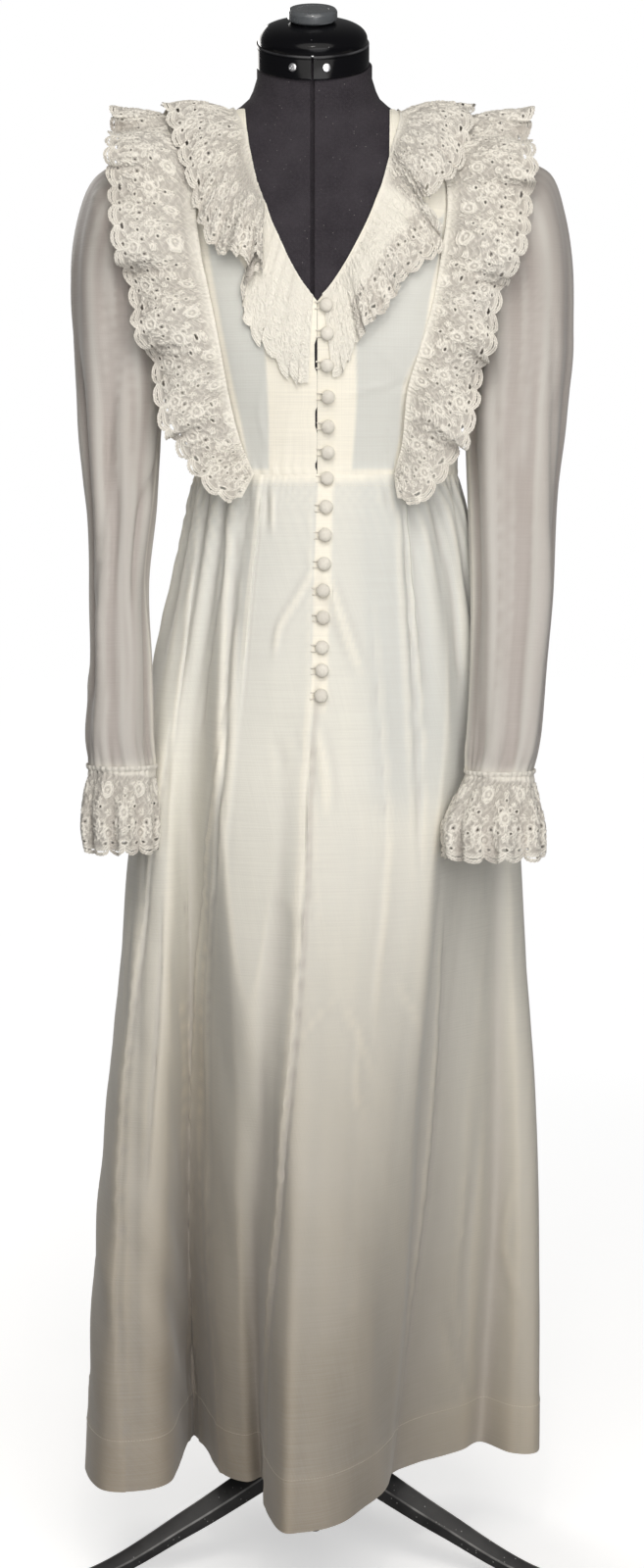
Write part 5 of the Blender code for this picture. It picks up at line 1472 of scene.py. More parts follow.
@dataclass
class Skirt:
    """The gathered skirt in four gores, with its folds, creases and hem."""

    finishes: Wardrobe
    shape: FormShape
    fold_samples: int = 12
    row_count: int = 112
    # The folds in the table at which the gores meet
    seams: tuple = (0, 10, 23, 31, 38)
    names: tuple = ("skirt_front_left", "skirt_front_right", "skirt_back_right", "skirt_back_left")
    rests: tuple = ("dress_bodice_back", "form_half_left")
    # Depth, the height where the gathers end, and how far above it they are full
    gather: tuple = (0.0030, 0.90, 0.12)
    # Waist angles in degrees between which there are no gathers
    front_flat: tuple = (58.0, 116.0)
    length: float = 1.11
    hem_height: float = 0.057
    hem_step: float = 0.0007
    seam_gap: float = 0.00012
    crease_gain: float = 1.35

    def __post_init__(self) -> None:
        """Work out the whole skirt once, before it is cut into gores."""
        self.grid = self.fold_grid()
        self.normals = grid_normals(self.grid, self.grid * np.array([1.0, 1.0, 0.0]), True)
        self.finished = self.add_detail()

    def columns(self) -> Array:
        """Waist angle, hull angle, hem x, hem fore and top between the table's folds."""
        folds = np.array(SKIRT_FOLDS, float)
        turn = np.array([360.0, 360.0, 0.0, 0.0, 0.0])
        rolled = [np.roll(folds, 1 - k, axis=0) for k in range(4)]
        rolled[0][0] -= turn
        rolled[2][-1] += turn
        rolled[3][-2:] += turn
        t = np.linspace(0, 1, self.fold_samples, endpoint=False)[None, :, None]
        return catmull(*(r[:, None] for r in rolled), t).reshape(-1, 5)

    def fold_grid(self) -> Array:
        """Points of the skirt's inside, from the waist down."""
        self.waist_degrees, hull, hem_x, hem_fore, top = self.columns().T
        waist, hull = np.radians(self.waist_degrees), np.radians(hull)
        rim_z = WAIST_Z - 0.00005
        share = np.linspace(0, 1, self.row_count)
        self.z = z = (rim_z - (rim_z - HEM_Z) * share**1.12)[:, None]
        bell = SmoothTable(SKIRT_BELL, (MM, MM, MM, MM, MM, 1.0))

        def bell_point(level: Array, angle: Array) -> Array:
            """Points of the plain bell at levels and angles."""
            return oval(bell.columns(level), level, angle)

        down = (WAIST_Z - z) / (WAIST_Z - HEM_Z)
        points = bell_point(z, waist + (hull - waist) * np.minimum(1.0, down * 1.6))
        # The top rows move on to the bodice's rim
        rim_level = np.full(len(waist), WAIST_Z)
        rim = self.shape.point(rim_level, waist, self.shape.clearance(rim_level) + 0.0002)
        rim[:, 2] = rim_z
        share = np.clip((z - 1.110) / 0.0545, 0, 1)[..., None]
        points += (rim - bell_point(np.full(1, rim_z), waist)) * share
        # The table's folds pull the lower rows out of the plain bell
        hem = join(hem_x * MM, hem_fore * MM, HEM_Z) - bell_point(np.full(1, HEM_Z), hull)
        fade = np.clip((top * MM - z) / (top * MM - HEM_Z), 0.0, 1.0) ** 1.25
        points += hem * fade[..., None]
        # Where the skirt is gathered, crests stand out more and valleys sink in
        depth, low, span = self.gather
        place = np.arange(len(waist)) / self.fold_samples * 2.0
        flat = (self.waist_degrees > self.front_flat[0]) & (self.waist_degrees < self.front_flat[1])
        move = depth * np.clip((z - low) / span, 0, 1) * np.cos(place * math.pi / 2) * ~flat
        move *= np.clip((rim_z - z) / 0.03, 0, 1)
        points[..., 0] += move * np.cos(waist)
        points[..., 1] += move * np.sin(waist)
        return points

    def add_detail(self) -> Array:
        """Gathers, seams, creases and slight unevenness on the folds."""
        z = self.z
        self.across = across = run_length(self.grid, 1)
        # Fine gathers under the waist, and tucks at its seam
        front = ease((np.sin(np.radians(self.waist_degrees)) - 0.72) / 0.2)
        near_waist = np.clip((z - 1.02) / 0.14, 0, 1) ** 1.4
        fine = np.sin(TURN * across / 0.0125 + 2.2 * np.sin(across / 0.031))
        move = 0.0010 * fine * near_waist * (1.0 - 0.75 * front)
        tuck = np.sin(TURN * across / 0.0062 + 1.4 * np.sin(across / 0.017))
        move += 0.0005 * tuck * bell_curve(z - WAIST_Z, 0.028) * (1.0 - 0.5 * front)
        # Slight unevenness where the cloth hangs free
        below = ease((1.13 - z) / 0.2)
        move += 0.0007 * below * ripples(across, z, 5, 7, (0.045, 0.14))
        move += 0.00012 * below * ripples(across, z, 6, 9, (0.016, 0.060))
        # A groove along each seam and a ridge beside it
        for seam in (0, *self.seams[2:-1]):
            column = seam * self.fold_samples
            away = np.abs(across - across[:, column : column + 1])
            away = np.minimum(away, across[:, -1:] - away)
            move += 0.0004 * bell_curve(away - 0.006, 0.003) - 0.0006 * bell_curve(away, 0.0022)
        creases = SKIRT_CREASES + self.hidden_creases(17, 22, 1.0)
        move += self.crease_gain * crease(self.grid, self.normals, creases)
        edges = crease(self.grid, self.normals, SKIRT_EDGES + self.hidden_creases(5, 9, 1.5), True)
        # Painted shadow on the low side of each fold edge
        self.painted_edge_shadow = np.clip(-edges / 0.0013, 0, 1)
        move += edges
        # The doubled cloth of the hem, with its row of stitches drawn in
        hem_top = HEM_Z + self.hem_height
        self.hem_share = ease((hem_top - z) / 0.0015) * np.ones_like(across)
        move += self.hem_step * (self.hem_share - bell_curve(z - HEM_Z - self.hem_height - 0.001, 0.002))
        move *= np.clip((WAIST_Z - z) / 0.004, 0.2, 1.0)
        return self.grid + self.normals * move[..., None]

    def hidden_creases(self, seed: int, amount: int, gain: float) -> tuple:
        """Creases like those in front, spread over the sides and the back.

        Args:
            seed: the seed that places them.
            amount: how many there are.
            gain: how much longer and deeper than plain ones they are.

        Returns:
            Their rows, as in the tables of creases.
        """
        rng = np.random.default_rng(seed)
        rows = []
        count = self.grid.shape[1]
        for index in range(amount):
            column = int(rng.uniform(0.50, 0.97) * count)
            start = rng.uniform(0.02, 0.5)
            end = min(0.99, start + gain * rng.uniform(0.15, 0.5))
            levels = (np.linspace(start, end, 4) * (self.row_count - 1)).astype(int)
            drift = (np.arange(4) * rng.uniform(-2.5, 2.5)).astype(int)
            spots = self.grid[levels, (column + drift) % count] / MM
            depth = gain * rng.uniform(1.2, 2.8) * (1 if index % 3 == 0 else -1)
            rows.append((depth, rng.uniform(5, 9), *[tuple(p) for p in spots]))
        return tuple(rows)

    def tones(self) -> tuple[Array, Array]:
        """How doubled the cloth looks, with painted highlights, and its painted shade, point by point."""
        z, (x, fore, _) = self.z, np.moveaxis(self.finished, -1, 0)
        in_front = fore > 0
        layer_and_highlight = 0.45 - 0.324 * np.clip((z - 0.86) / 0.22, 0, 1) + 0.18 * self.hem_share
        layer_and_highlight = np.maximum(layer_and_highlight, bell_curve(z - WAIST_Z + 0.002, 0.005))
        # The placket is doubled
        heights, places = np.array(BUTTONS[::-1]).T * MM
        away = x - np.interp(z, heights, places) + 0.0095
        placket = ease((away + 0.001) / 0.002) * ease((0.0185 - away) / 0.005) * ease((z - 0.90) / 0.05)
        layer_and_highlight = np.maximum(layer_and_highlight, placket * (fore > 0.05))
        # In front the cloth is lighter in the middle and darker beside it
        middle = ease((0.075 - np.abs(x)) / 0.05) * in_front * ease((z - 0.75) / 0.35)
        aside = ease((x - 0.03) / 0.05) * in_front * ease((z - 0.80) / 0.06)
        layer_and_highlight = np.clip(layer_and_highlight + 0.10 * middle - 0.38 * aside, 0, 1)
        # Painted shade in grooves and beside fold edges; painted highlights on ridges and in the recess
        groove = sunk_share(self.finished, self.normals, 9, 0.008)
        nick = sunk_share(self.finished, self.normals, 3, 0.0016)
        recess = np.clip(crease(self.grid, self.normals, SKIRT_RECESS), 0, 1)
        shade = 0.12 * np.maximum(groove, 0) + 0.20 * np.maximum(nick, 0) + 0.38 * self.painted_edge_shadow
        layer_and_highlight = np.clip(layer_and_highlight + 0.8 * recess, 0, 1)
        return np.clip(layer_and_highlight + 0.35 * np.maximum(-nick, 0), 0, 1), np.clip(shade * (1 - recess), 0, 1)

    def build(self) -> None:
        """Cut the skirt into its four gores."""
        closed, facing, layer_and_highlight, shade = map(lap_round, (self.finished, self.normals, *self.tones()))
        wide = lap_round(self.across, UV_STEP)
        for index, name in enumerate(self.names):
            ends = [self.seams[index + k] * self.fold_samples for k in (0, 1)]
            part = slice(ends[0], ends[1] + 1)
            points = closed[:, part].copy()
            for end, edge, inner in zip(ends, (0, -1), (1, -2)):
                if end != self.seams[1] * self.fold_samples:
                    points[:, edge] += unit(points[:, inner] - points[:, edge]) * self.seam_gap
            uv = join(wide[:, part], self.z)
            values = {"layer_and_highlight": layer_and_highlight[:, part], "shade": shade[:, part]}
            grid = ClothGrid(f"dress_{name}", points, facing[:, part], uv, values=values)
            sew(grid, self.finishes, name)


@dataclass
class Sleeve:
    """A long gathered sleeve, open at the armhole and the wrist."""

    finishes: Wardrobe
    shape: FormShape
    side: Side
    rings: tuple
    creases: tuple
    row_count: int = 112
    columns: int = 112
    length: float = 0.66
    cap_gathers: int = 26
    wrist_gathers: int = 22
    upper_dim: float = 0.10

    def armhole_ring(self, turn: Array) -> Array:
        """The sleeve's top edge, lying on the bodice."""
        centre, height, depth = ARMHOLE
        z = centre + height * np.cos(turn)
        angle = self.shape.armhole_angle(z, depth * np.sin(turn), self.side)
        return self.shape.point(z, angle, self.shape.clearance(z) + CLOTH_ROOM + 0.0003)

    def surface(self, index: Array, turn: Array) -> Array:
        """Points of the sleeve's inside from the armhole to the wrist, by ring and turn round it."""
        sign = self.side.value
        table = SmoothTable([(k, *ring) for k, ring in enumerate(self.rings)])
        ring = np.maximum(index, 0.0)
        x, fore, z, tilt, half, depth, fold = table.at(ring).T
        wave = fold[:, None] * MM * np.cos(5 * turn + 0.9 + 0.12 * ring[:, None])
        tilt = np.radians(tilt)
        centre = join(sign * x, fore, z)[:, None] * MM
        outward = join(sign * np.sin(tilt), 0.0, np.cos(tilt))[:, None]
        across = (np.cos(turn) * (half[:, None] * MM + wave))[..., None]
        along = (np.sin(turn) * (depth[:, None] * MM + wave))[..., None]
        points = centre + outward * across + np.array([0.0, 1.0, 0.0]) * along
        share = np.clip(index + 1, 0, 1)[:, None, None]
        start = self.armhole_ring(turn)[None]
        return np.where(share < 1, start + (points - start) * share, points)

    def build(self) -> None:
        """Make the sleeve with its gathers, long folds and creases."""
        last, seed = len(self.rings) - 1, self.side.value
        index = np.linspace(-1, last, self.row_count)
        turn = np.linspace(0, TURN, self.columns, endpoint=False)
        points = self.surface(index, turn)
        outward = points - points.mean(axis=1, keepdims=True)
        normals = grid_normals(points, outward, True)
        index, turn = index[:, None], turn[None]
        start, wrist, z, across = index + 1, last - index, points[..., 2], run_length(points, 1)
        # Gathers at the cap and the wrist
        cap = np.sin(self.cap_gathers * turn + 1.5 * np.sin(3 * turn)) * bell_curve(start, 1.5)
        cap *= (0.55 + 0.45 * np.cos(turn)) * np.clip(start / 0.25, 0, 1)
        cuff = np.sin(self.wrist_gathers * turn + 1.8 * np.sin(2 * turn)) * bell_curve(wrist, 0.9)
        move = 0.0013 * cap + 0.0009 * cuff * np.clip(wrist / 0.12, 0.25, 1)
        # Long slanting folds, creases and the seam's welt
        middle = ease((index - 0.4) / 1.2) * ease(wrist / 0.8)
        slant = 0.6 * z + 0.004 * np.sin((11.0 + seed) * turn)
        move += 0.0017 * middle * ripples(turn * 0.05, slant, 31 + seed, 8, (0.03, 0.10))
        move += 0.0016 * middle * ripples(turn * 0.05, 0.12 * z, 51 + seed, 6, (0.05, 0.12))
        move += 1.8 * crease(points, normals, self.creases)
        welt = bell_curve(across - across[:, self.columns // 2 : self.columns // 2 + 1], 0.0025)
        points = points + normals * (move + 0.0004 * welt)[..., None]
        # How doubled the cloth looks and how shaded it is
        wrist_band = bell_curve(wrist, 0.25)
        layer_and_highlight = 0.15 + 0.5 * wrist_band + 0.25 * bell_curve(start, 0.12)
        streaks = ripples(turn * 0.05, 0.05 * z, 71 + seed, 9, (0.012, 0.05))
        groove = sunk_share(points, normals, 5, 0.002)
        shade = 0.95 + 0.12 * streaks + 0.26 * groove + self.upper_dim * ease((z - 1.15) / 0.2)
        shade = np.clip(shade * (1.0 - 0.6 * welt) * (1.0 - 0.5 * wrist_band), 0, 1)
        values = {"layer_and_highlight": np.clip(layer_and_highlight + 0.5 * welt, 0, 1), "shade": shade}
        uv, name = join(lap_round(across, UV_STEP), lap_round(z)), f"sleeve_{self.side.word}"
        grid = ClothGrid(f"dress_{name}", points, outward, uv, True, values=values)
        sew(grid, self.finishes, name)


# Lace


class LaceDrawing:
    """The lace as it is drawn: solid cloth, open gaps and how raised it is, in millimetres."""

    def __init__(self, solid: Array, gap: Array, relief: Array) -> None:
        """Start from the edge's own lines."""
        self.solid, self.gap, self.relief = solid, gap, relief

    def line(self, solid: Array, relief: Array) -> None:
        """Add a cord or a band."""
        self.solid, self.relief = np.maximum(self.solid, solid), np.maximum(self.relief, relief)

    def motif(self, out: Array, relief: Array) -> None:
        """Fill in a flower or leaf, which closes the gaps under it."""
        self.solid = np.maximum(self.solid, out)
        self.gap = np.where(out > 0, -out, self.gap)
        self.relief = np.where(out > 0, relief, self.relief)


class LacePattern:
    """A corded lace with a scalloped edge, in repeats of two scallops.

    Places are s, along the lace, and q, in from the scallops' outermost line, both in
    millimetres. Every shape is a distance in millimetres, above zero inside it.
    """

    scallop = 24.0
    dip = 5.5
    # Each motif's place and depth, then a radius, or its half length, half width and turn
    roses = ((0, 22.5, 8.8), (25, 44, 8.2), (3, 66, 8.6))
    flowers = (
        (24, 25, 4.6), (12, 34, 3.4), (36, 34, 3.4), (0, 43, 4.2), (12, 56, 3.8), (36, 57, 3.8),
        (24, 66, 4.4),
    )
    leaves = (
        (12, 22, 6.4, 2.6, 1.1), (36, 22, 6.4, 2.6, -1.1), (13, 43, 6, 2.4, 0.4), (35, 43, 6, 2.4, -0.4),
        (15, 15.5, 4.2, 1.9, -0.5), (33, 15.5, 4.2, 1.9, 0.5), (10, 70, 5, 2.2, 1), (38, 71, 5, 2.2, -1),
        (12, 28, 4.4, 1.8, -0.9), (36, 28, 4.4, 1.8, 0.9), (24, 34, 4.6, 1.9, 1.57),
        (24, 55.5, 4.6, 1.8, 1.57),
    )
    scrolls = ((7, 33, 3.6), (41, 33, 3.6), (18, 51.5, 3.2), (30, 51.5, 3.2))
    eyes = (
        (24, 13.8, 3.4, 1.5), (5, 12.4, 2, 1.2), (43, 13, 1.7, 1.1), (17.5, 29.5, 1.6, 1.1),
        (31.5, 30.5, 1.4, 1.2), (9.5, 49.5, 1.8, 1.2), (24, 60.5, 1.7, 1.1),
    )

    def edge(self, s: Array) -> Array:
        """How far in from the outermost line the scalloped edge lies."""
        u = np.abs(np.mod(s, self.scallop) - self.scallop / 2) / (self.scallop / 2)
        return self.dip * u**2.3 + 0.35 * np.cos(TURN * s / 3.43)

    def shapes(self, s: Array, q: Array) -> dict[str, Array]:
        """The lace at places along and across it.

        Args:
            s: distance along the lace in millimetres.
            q: distance in from the outermost line in millimetres.

        Returns:
            Values from zero to one: solid cloth, open gap and how raised it is; and the holes' distance.
        """
        drawing, repeat = self.border(s, q), 2 * self.scallop
        v = np.mod(s, repeat)

        def near(place: float, depth: float) -> tuple[Array, Array]:
            """Distances from the nearest repeat of a motif, along and across the lace."""
            return np.mod(v - place + repeat / 2, repeat) - repeat / 2, q - depth

        for place, depth, long, wide in self.eyes:
            a, b = near(place, depth)
            size = (1.0 - np.sqrt((a / long) ** 2 + (b / wide) ** 2)) * min(long, wide)
            drawing.gap = np.maximum(drawing.gap, size)
            drawing.line(1.0 - np.abs(size + 0.9), 0.8 * bell_curve(size + 0.9, 0.7))
        for place, depth, radius in self.roses:
            a, b = near(place, depth)
            r, turn = np.hypot(a, b), np.arctan2(b, a)
            out = radius * (0.94 + 0.07 * np.cos(6 * turn + place)) - r
            petals = 0.16 * np.abs(np.cos(2.5 * turn + 4.5 * r / radius))
            rings = 0.5 + 0.5 * np.cos(TURN * (r / radius * 1.9 - petals))
            drawing.motif(out, np.maximum(0.05 + 0.95 * rings, bell_curve(out - 0.5, 0.8)))
        for place, depth, radius in self.flowers:
            a, b = near(place, depth)
            r, turn = np.hypot(a, b), np.arctan2(b, a)
            out = radius * (0.68 + 0.32 * np.abs(np.cos(2.5 * turn + place))) - r
            heart = np.maximum(bell_curve(r - radius * 0.30, 0.6), 0.1)
            drawing.motif(out, np.maximum(bell_curve(out - 0.5, 0.8), heart))
            drawing.relief = np.where(r < radius * 0.14, 0.0, drawing.relief)
        for place, depth, long, wide, angle in self.leaves:
            a, b = near(place, depth)
            c, sine = math.cos(angle), math.sin(angle)
            along, across = a * c + b * sine, b * c - a * sine
            out = (1.0 - (along / long) ** 2) * wide - np.abs(across)
            out = np.where(np.abs(along) < long, out, -1.0)
            body = np.maximum(bell_curve(out - 0.4, 0.6), 0.45) - 0.35 * bell_curve(across, 0.45)
            drawing.motif(out, np.maximum(drawing.relief * 0.4, body))
        for place, depth, radius in self.scrolls:
            r = np.hypot(*near(place, depth))
            band = 0.85 - np.abs(r - radius)
            drawing.line(band, bell_curve(r - radius, 0.7))
            drawing.gap = np.maximum(np.where(band > 0, -band, drawing.gap), (radius - 2.3) - r)
        return {
            "solid": np.clip(0.5 + drawing.solid / 1.6, 0, 1),
            "gap": np.clip(0.5 + drawing.gap / 1.6, 0, 1),
            "relief": np.clip(drawing.relief, 0, 1),
            "hole": drawing.gap,
        }

    def border(self, s: Array, q: Array) -> LaceDrawing:
        """The scalloped bands at the edge and the corded ground above them."""
        u = np.mod(s, self.scallop) - self.scallop / 2
        inner = q - self.dip * (np.abs(u) / (self.scallop / 2)) ** 2.3
        gap = np.minimum(0.62 - np.abs(inner - 4.25), 6.8 - np.abs(u)) * 1.2
        tie = 0.55 - np.abs(np.mod(s, 4.8) - 2.4)
        gap = np.where(tie > 0, np.minimum(gap, -tie), gap)
        relief = np.maximum(bell_curve(inner - 0.6, 0.7), 0.9 * bell_curve(inner - 3.1, 0.7))
        drawing = LaceDrawing(np.minimum(inner + 0.5, 3.4 - inner), gap, relief)
        relief = np.maximum(bell_curve(inner - 5.5, 0.75), 0.85 * bell_curve(inner - 8.1, 0.75))
        drawing.line(np.minimum(inner - 5.1, 8.3 - inner), relief)
        stem = np.where(q < 17.0, 1.5 - np.abs(np.abs(u) - self.scallop / 2), -9.0)
        drawing.line(stem, 0.8 * ease(stem / 0.9))
        warp = np.abs(np.mod(s + 2.6 * np.sin(TURN * q / 13.0 + 0.8), 8.0) - 4.0)
        weft = np.abs(np.mod(q + 2.2 * np.sin(TURN * s / 12.0), 7.0) - 3.5)
        ground = np.where(q > 13.0, np.minimum(warp, weft), 9.0)
        drawing.line(0.7 - ground, 0.42 * bell_curve(ground, 0.85))
        return drawing


class LaceCloth:
    """Shared steps of every piece of lace: the pattern, its relief and its cut gaps."""

    relief_height = 0.0016
    pattern = LacePattern()

    def finish(
        self, nodes: Sequence[str], name: str, points: Array, places: tuple[Array, Array], heading: Array,
        backed: Array | float = 0.0, closed: bool = False,
    ) -> bpy.types.Object:
        """Lay the pattern over a grid of points and build it.

        Args:
            nodes: the CAD nodes that it stands for.
            name: the piece's name.
            points: the grid, from the seam edge to the free edge.
            places: distance along the lace and in from its outermost line, in millimetres, by point.
            heading: one where plain gathered cloth covers the pattern.
            backed: one where the lace lies flat on cream cloth.
            closed: whether the grid runs round a tube.

        Returns:
            The lace as one object.
        """
        s, q = places
        shapes = self.pattern.shapes(s, q)
        backed = backed + np.zeros(s.shape)
        relief = shapes["relief"] * (1 - heading) + 0.6 * heading
        outward = points - points.mean(axis=(0, 1)) if closed else points - np.array([0.0, 0.0, CHEST_Z])
        normals = grid_normals(points, outward, closed)
        moved = points + normals * (self.relief_height * relief * (1 - 0.6 * backed))[..., None]
        # Painted shade in the ruffles' folds, less where the lace lies on cream cloth
        fold = np.clip(sunk_share(points, normals, 8, 0.005) - 0.08, 0, 1) * (1 - 0.5 * backed)
        hole = np.where(np.maximum(heading, backed) > 0.4, -1.0, shapes["hole"])
        if closed:
            hole, s, q = map(lap_round, (hole, s, q))
            s[:, -1] = s[:, -2] + (s[:, 1] - s[:, 0])
        least = np.minimum(np.minimum(hole[:-1, :-1], hole[:-1, 1:]), np.minimum(hole[1:, :-1], hole[1:, 1:]))
        values = {
            "solid": np.maximum(np.maximum(shapes["solid"], heading), backed),
            "gap": shapes["gap"] * (1 - heading) * (1 - backed),
            "relief": relief, "backed": backed, "fold": fold,
        }
        grid = ClothGrid(name, moved, normals, join(s * MM, q * MM), closed, least < 0.45, values)
        obj = grid.build(self.finishes["lace"])
        ride_and_slot(obj, nodes)
        return obj


@dataclass
class LaceStrip(LaceCloth):
    """A gathered strip of lace that follows stations from its seam edge to its free edge."""

    finishes: Wardrobe
    shape: FormShape
    node: str
    name: str
    stations: tuple
    waves: int
    wave: float
    sway: float
    seed: int
    flat: tuple = ()
    cell: float = 0.00137
    lift: float = 0.0030
    ripple: float = 0.0022
    rests: tuple = ("dress_bodice_front_right", "dress_bodice_front_left")

    def ruffle(self, t: Array, w: Array) -> Array:
        """Points of the strip.

        Args:
            t: shares of the strip's length, by column.
            w: shares of its width from the seam edge, by row and column.

        Returns:
            The points, by row and column.
        """
        table = SmoothTable([(k, *row) for k, row in enumerate(self.stations)], (1.0, *(MM,) * 7))
        last = len(self.stations) - 1
        rows = table.at(t * last)
        ahead, behind = table.at(np.minimum(t + 0.01, 1) * last), table.at(np.maximum(t - 0.01, 0) * last)
        seam, edge, bow = rows[:, 0:3], rows[:, 3:6], rows[:, 6]
        along = unit(ahead[:, 0:3] - behind[:, 0:3])
        out = unit(np.cross(along, edge - seam))
        middle = (seam + edge) / 2 - np.array([0.0, 0.0, CHEST_Z])
        out *= np.where(np.sum(out * middle, axis=1) < 0, -1.0, 1.0)[:, None]
        phase = TURN * self.waves * t
        wander = 0.5 * np.sin(phase * 0.37 + self.seed) + 0.35 * np.sin(phase * 0.61 + 2.0 * self.seed)
        main = np.sin(phase + 0.5 * wander)
        swell = self.wave * (main + 1) * w**1.3
        small = self.ripple * np.sin(2.63 * phase + 1.2 * wander + self.seed) * w**1.8
        tiny = 0.25 * self.ripple * np.sin(7.1 * phase + self.seed) * w**1.2
        gather = 0.0006 * np.sin(19 * phase) * np.exp(-w / 0.16)
        rise = bow * np.sin(math.pi * np.minimum(w, 0.9)) + swell + small + tiny + gather
        lean = self.sway * main * w**1.4 + 0.0030 * np.sin(2.3 * phase + wander) * w**1.5
        lean = lean + 0.0016 * np.sin(5.26 * phase) * w**2
        points = seam + (edge - seam) * w[..., None] + out * rise[..., None] + along * lean[..., None]
        return self.shape.keep_off(points, self.shape.clearance(points[..., 2]) + CLOTH_ROOM + w * self.lift)

    def backed(self, t: Array, w: Array) -> Array:
        """Where the strip lies flat on the bodice's cream facing, from zero to one."""
        near = 0.6 * ease((0.16 - w) / 0.10)
        if not self.flat:
            return near
        whole, inner = self.flat
        facing = ease((inner - t) / 0.03) * ease((0.55 - w) / 0.15)
        return np.maximum(near, np.maximum(ease((whole - t) / 0.02), facing))

    def build(self) -> None:
        """Make the strip with its scalloped edge."""
        rough = np.linspace(0, 1, 900)
        length = run_length(self.ruffle(rough, np.full((1, 900), 0.85))[0], 0)
        count, long = int(length[-1] / self.cell), float(length[-1])
        t = np.interp(np.linspace(0, long, count), length, rough)
        repeats = max(1, round(long / MM / self.pattern.scallop))
        s = np.linspace(0, repeats * self.pattern.scallop, count)
        seam, edge = (self.ruffle(t, np.full((1, count), side))[0] for side in (0.0, 1.0))
        width = np.linalg.norm(edge - seam, axis=1)
        cut = self.pattern.edge(s) * MM / np.maximum(width, 0.02)
        rows = int(np.percentile(width, 80) / self.cell)
        w = np.linspace(0, 1, rows)[:, None] * (1.0 - np.minimum(cut, 0.3))
        places = (np.broadcast_to(s, w.shape), (1.0 - w) * width / MM)
        ends = ease(np.minimum(s, s[-1] - s) / 5.0)
        heading = np.maximum(ease((0.055 - w) / 0.03), 1.0 - ends)
        obj = self.finish([self.node], self.name, self.ruffle(t, w), places, heading, self.backed(t, w))


@dataclass
class Cuff(LaceCloth):
    """A gathered lace cuff hanging from a sleeve's wrist."""

    finishes: Wardrobe
    side: Side
    rings: tuple
    top_z: float
    cell: float = 0.00132
    waves: int = 9
    lap: float = 4.0
    overhang: float = 1.5

    def tube(self, turn: Array, drop: Array) -> Array:
        """Points of the cuff at turns round it and drops below the sleeve's end."""
        x, fore, half, depth, wave = SmoothTable(self.rings).columns(np.maximum(drop, 0.0))
        half, depth = (size + 2.3 * ease((1.5 - drop) / 3.0) for size in (half, depth))
        low = np.clip(drop / 84.0, 0, 1)
        sway = 0.4 * np.sin(2 * turn + 1.0) + 0.3 * np.sin(3 * turn)
        swing = wave * np.cos(self.waves * turn + 0.4 + sway * low)
        swing = swing + 1.5 * low**1.4 * np.sin(2.0 * self.waves * turn + 1.7 * np.sin(2 * turn))
        swing = swing + 0.7 * np.exp(-np.abs(drop) / 12.0) * np.sin(34 * turn)
        leaning = turn + 0.055 * low**1.5 * np.sin(2 * (self.waves * turn + 0.4))
        px = self.side.value * x + (half + swing) * np.cos(leaning)
        pf = fore + (depth + swing) * np.sin(leaning)
        return join(px * MM, pf * MM, self.top_z - drop * MM)

    def build(self) -> None:
        """Make the cuff with its heading, motifs and scalloped edge."""
        deepest = float(self.rings[-1][0])
        rough = np.linspace(0, TURN, 1200)
        length = run_length(self.tube(rough, np.full((1, 1200), 66.0))[0], 0)
        girth = length[-1]
        count = int(girth / self.cell)
        turn = np.interp(np.linspace(0, girth, count, endpoint=False), length, rough)
        repeats = 2 * max(1, round(girth / MM / self.pattern.scallop / 2))
        s = np.linspace(0, repeats * self.pattern.scallop, count, endpoint=False)
        share = np.linspace(0, 1, int((deepest - 1.0) * MM / self.cell))[:, None]
        bottom = deepest + self.overhang - self.pattern.edge(s)
        drop = -self.lap + share * (bottom + self.lap)
        uneven = 7.0 + 3.0 * np.sin(2 * turn + 0.6) + 1.6 * np.sin(5 * turn)
        places = (np.broadcast_to(s, drop.shape), deepest + self.overhang - drop)
        nodes = [f"cuff_{self.side.word}_{half}" for half in ("front", "back")]
        name, points = f"dress_cuff_{self.side.word}", self.tube(turn[None], drop)
        obj = self.finish(nodes, name, points, places, ease((uneven - drop) / 3.0), closed=True)


# Buttons, loops and stitches


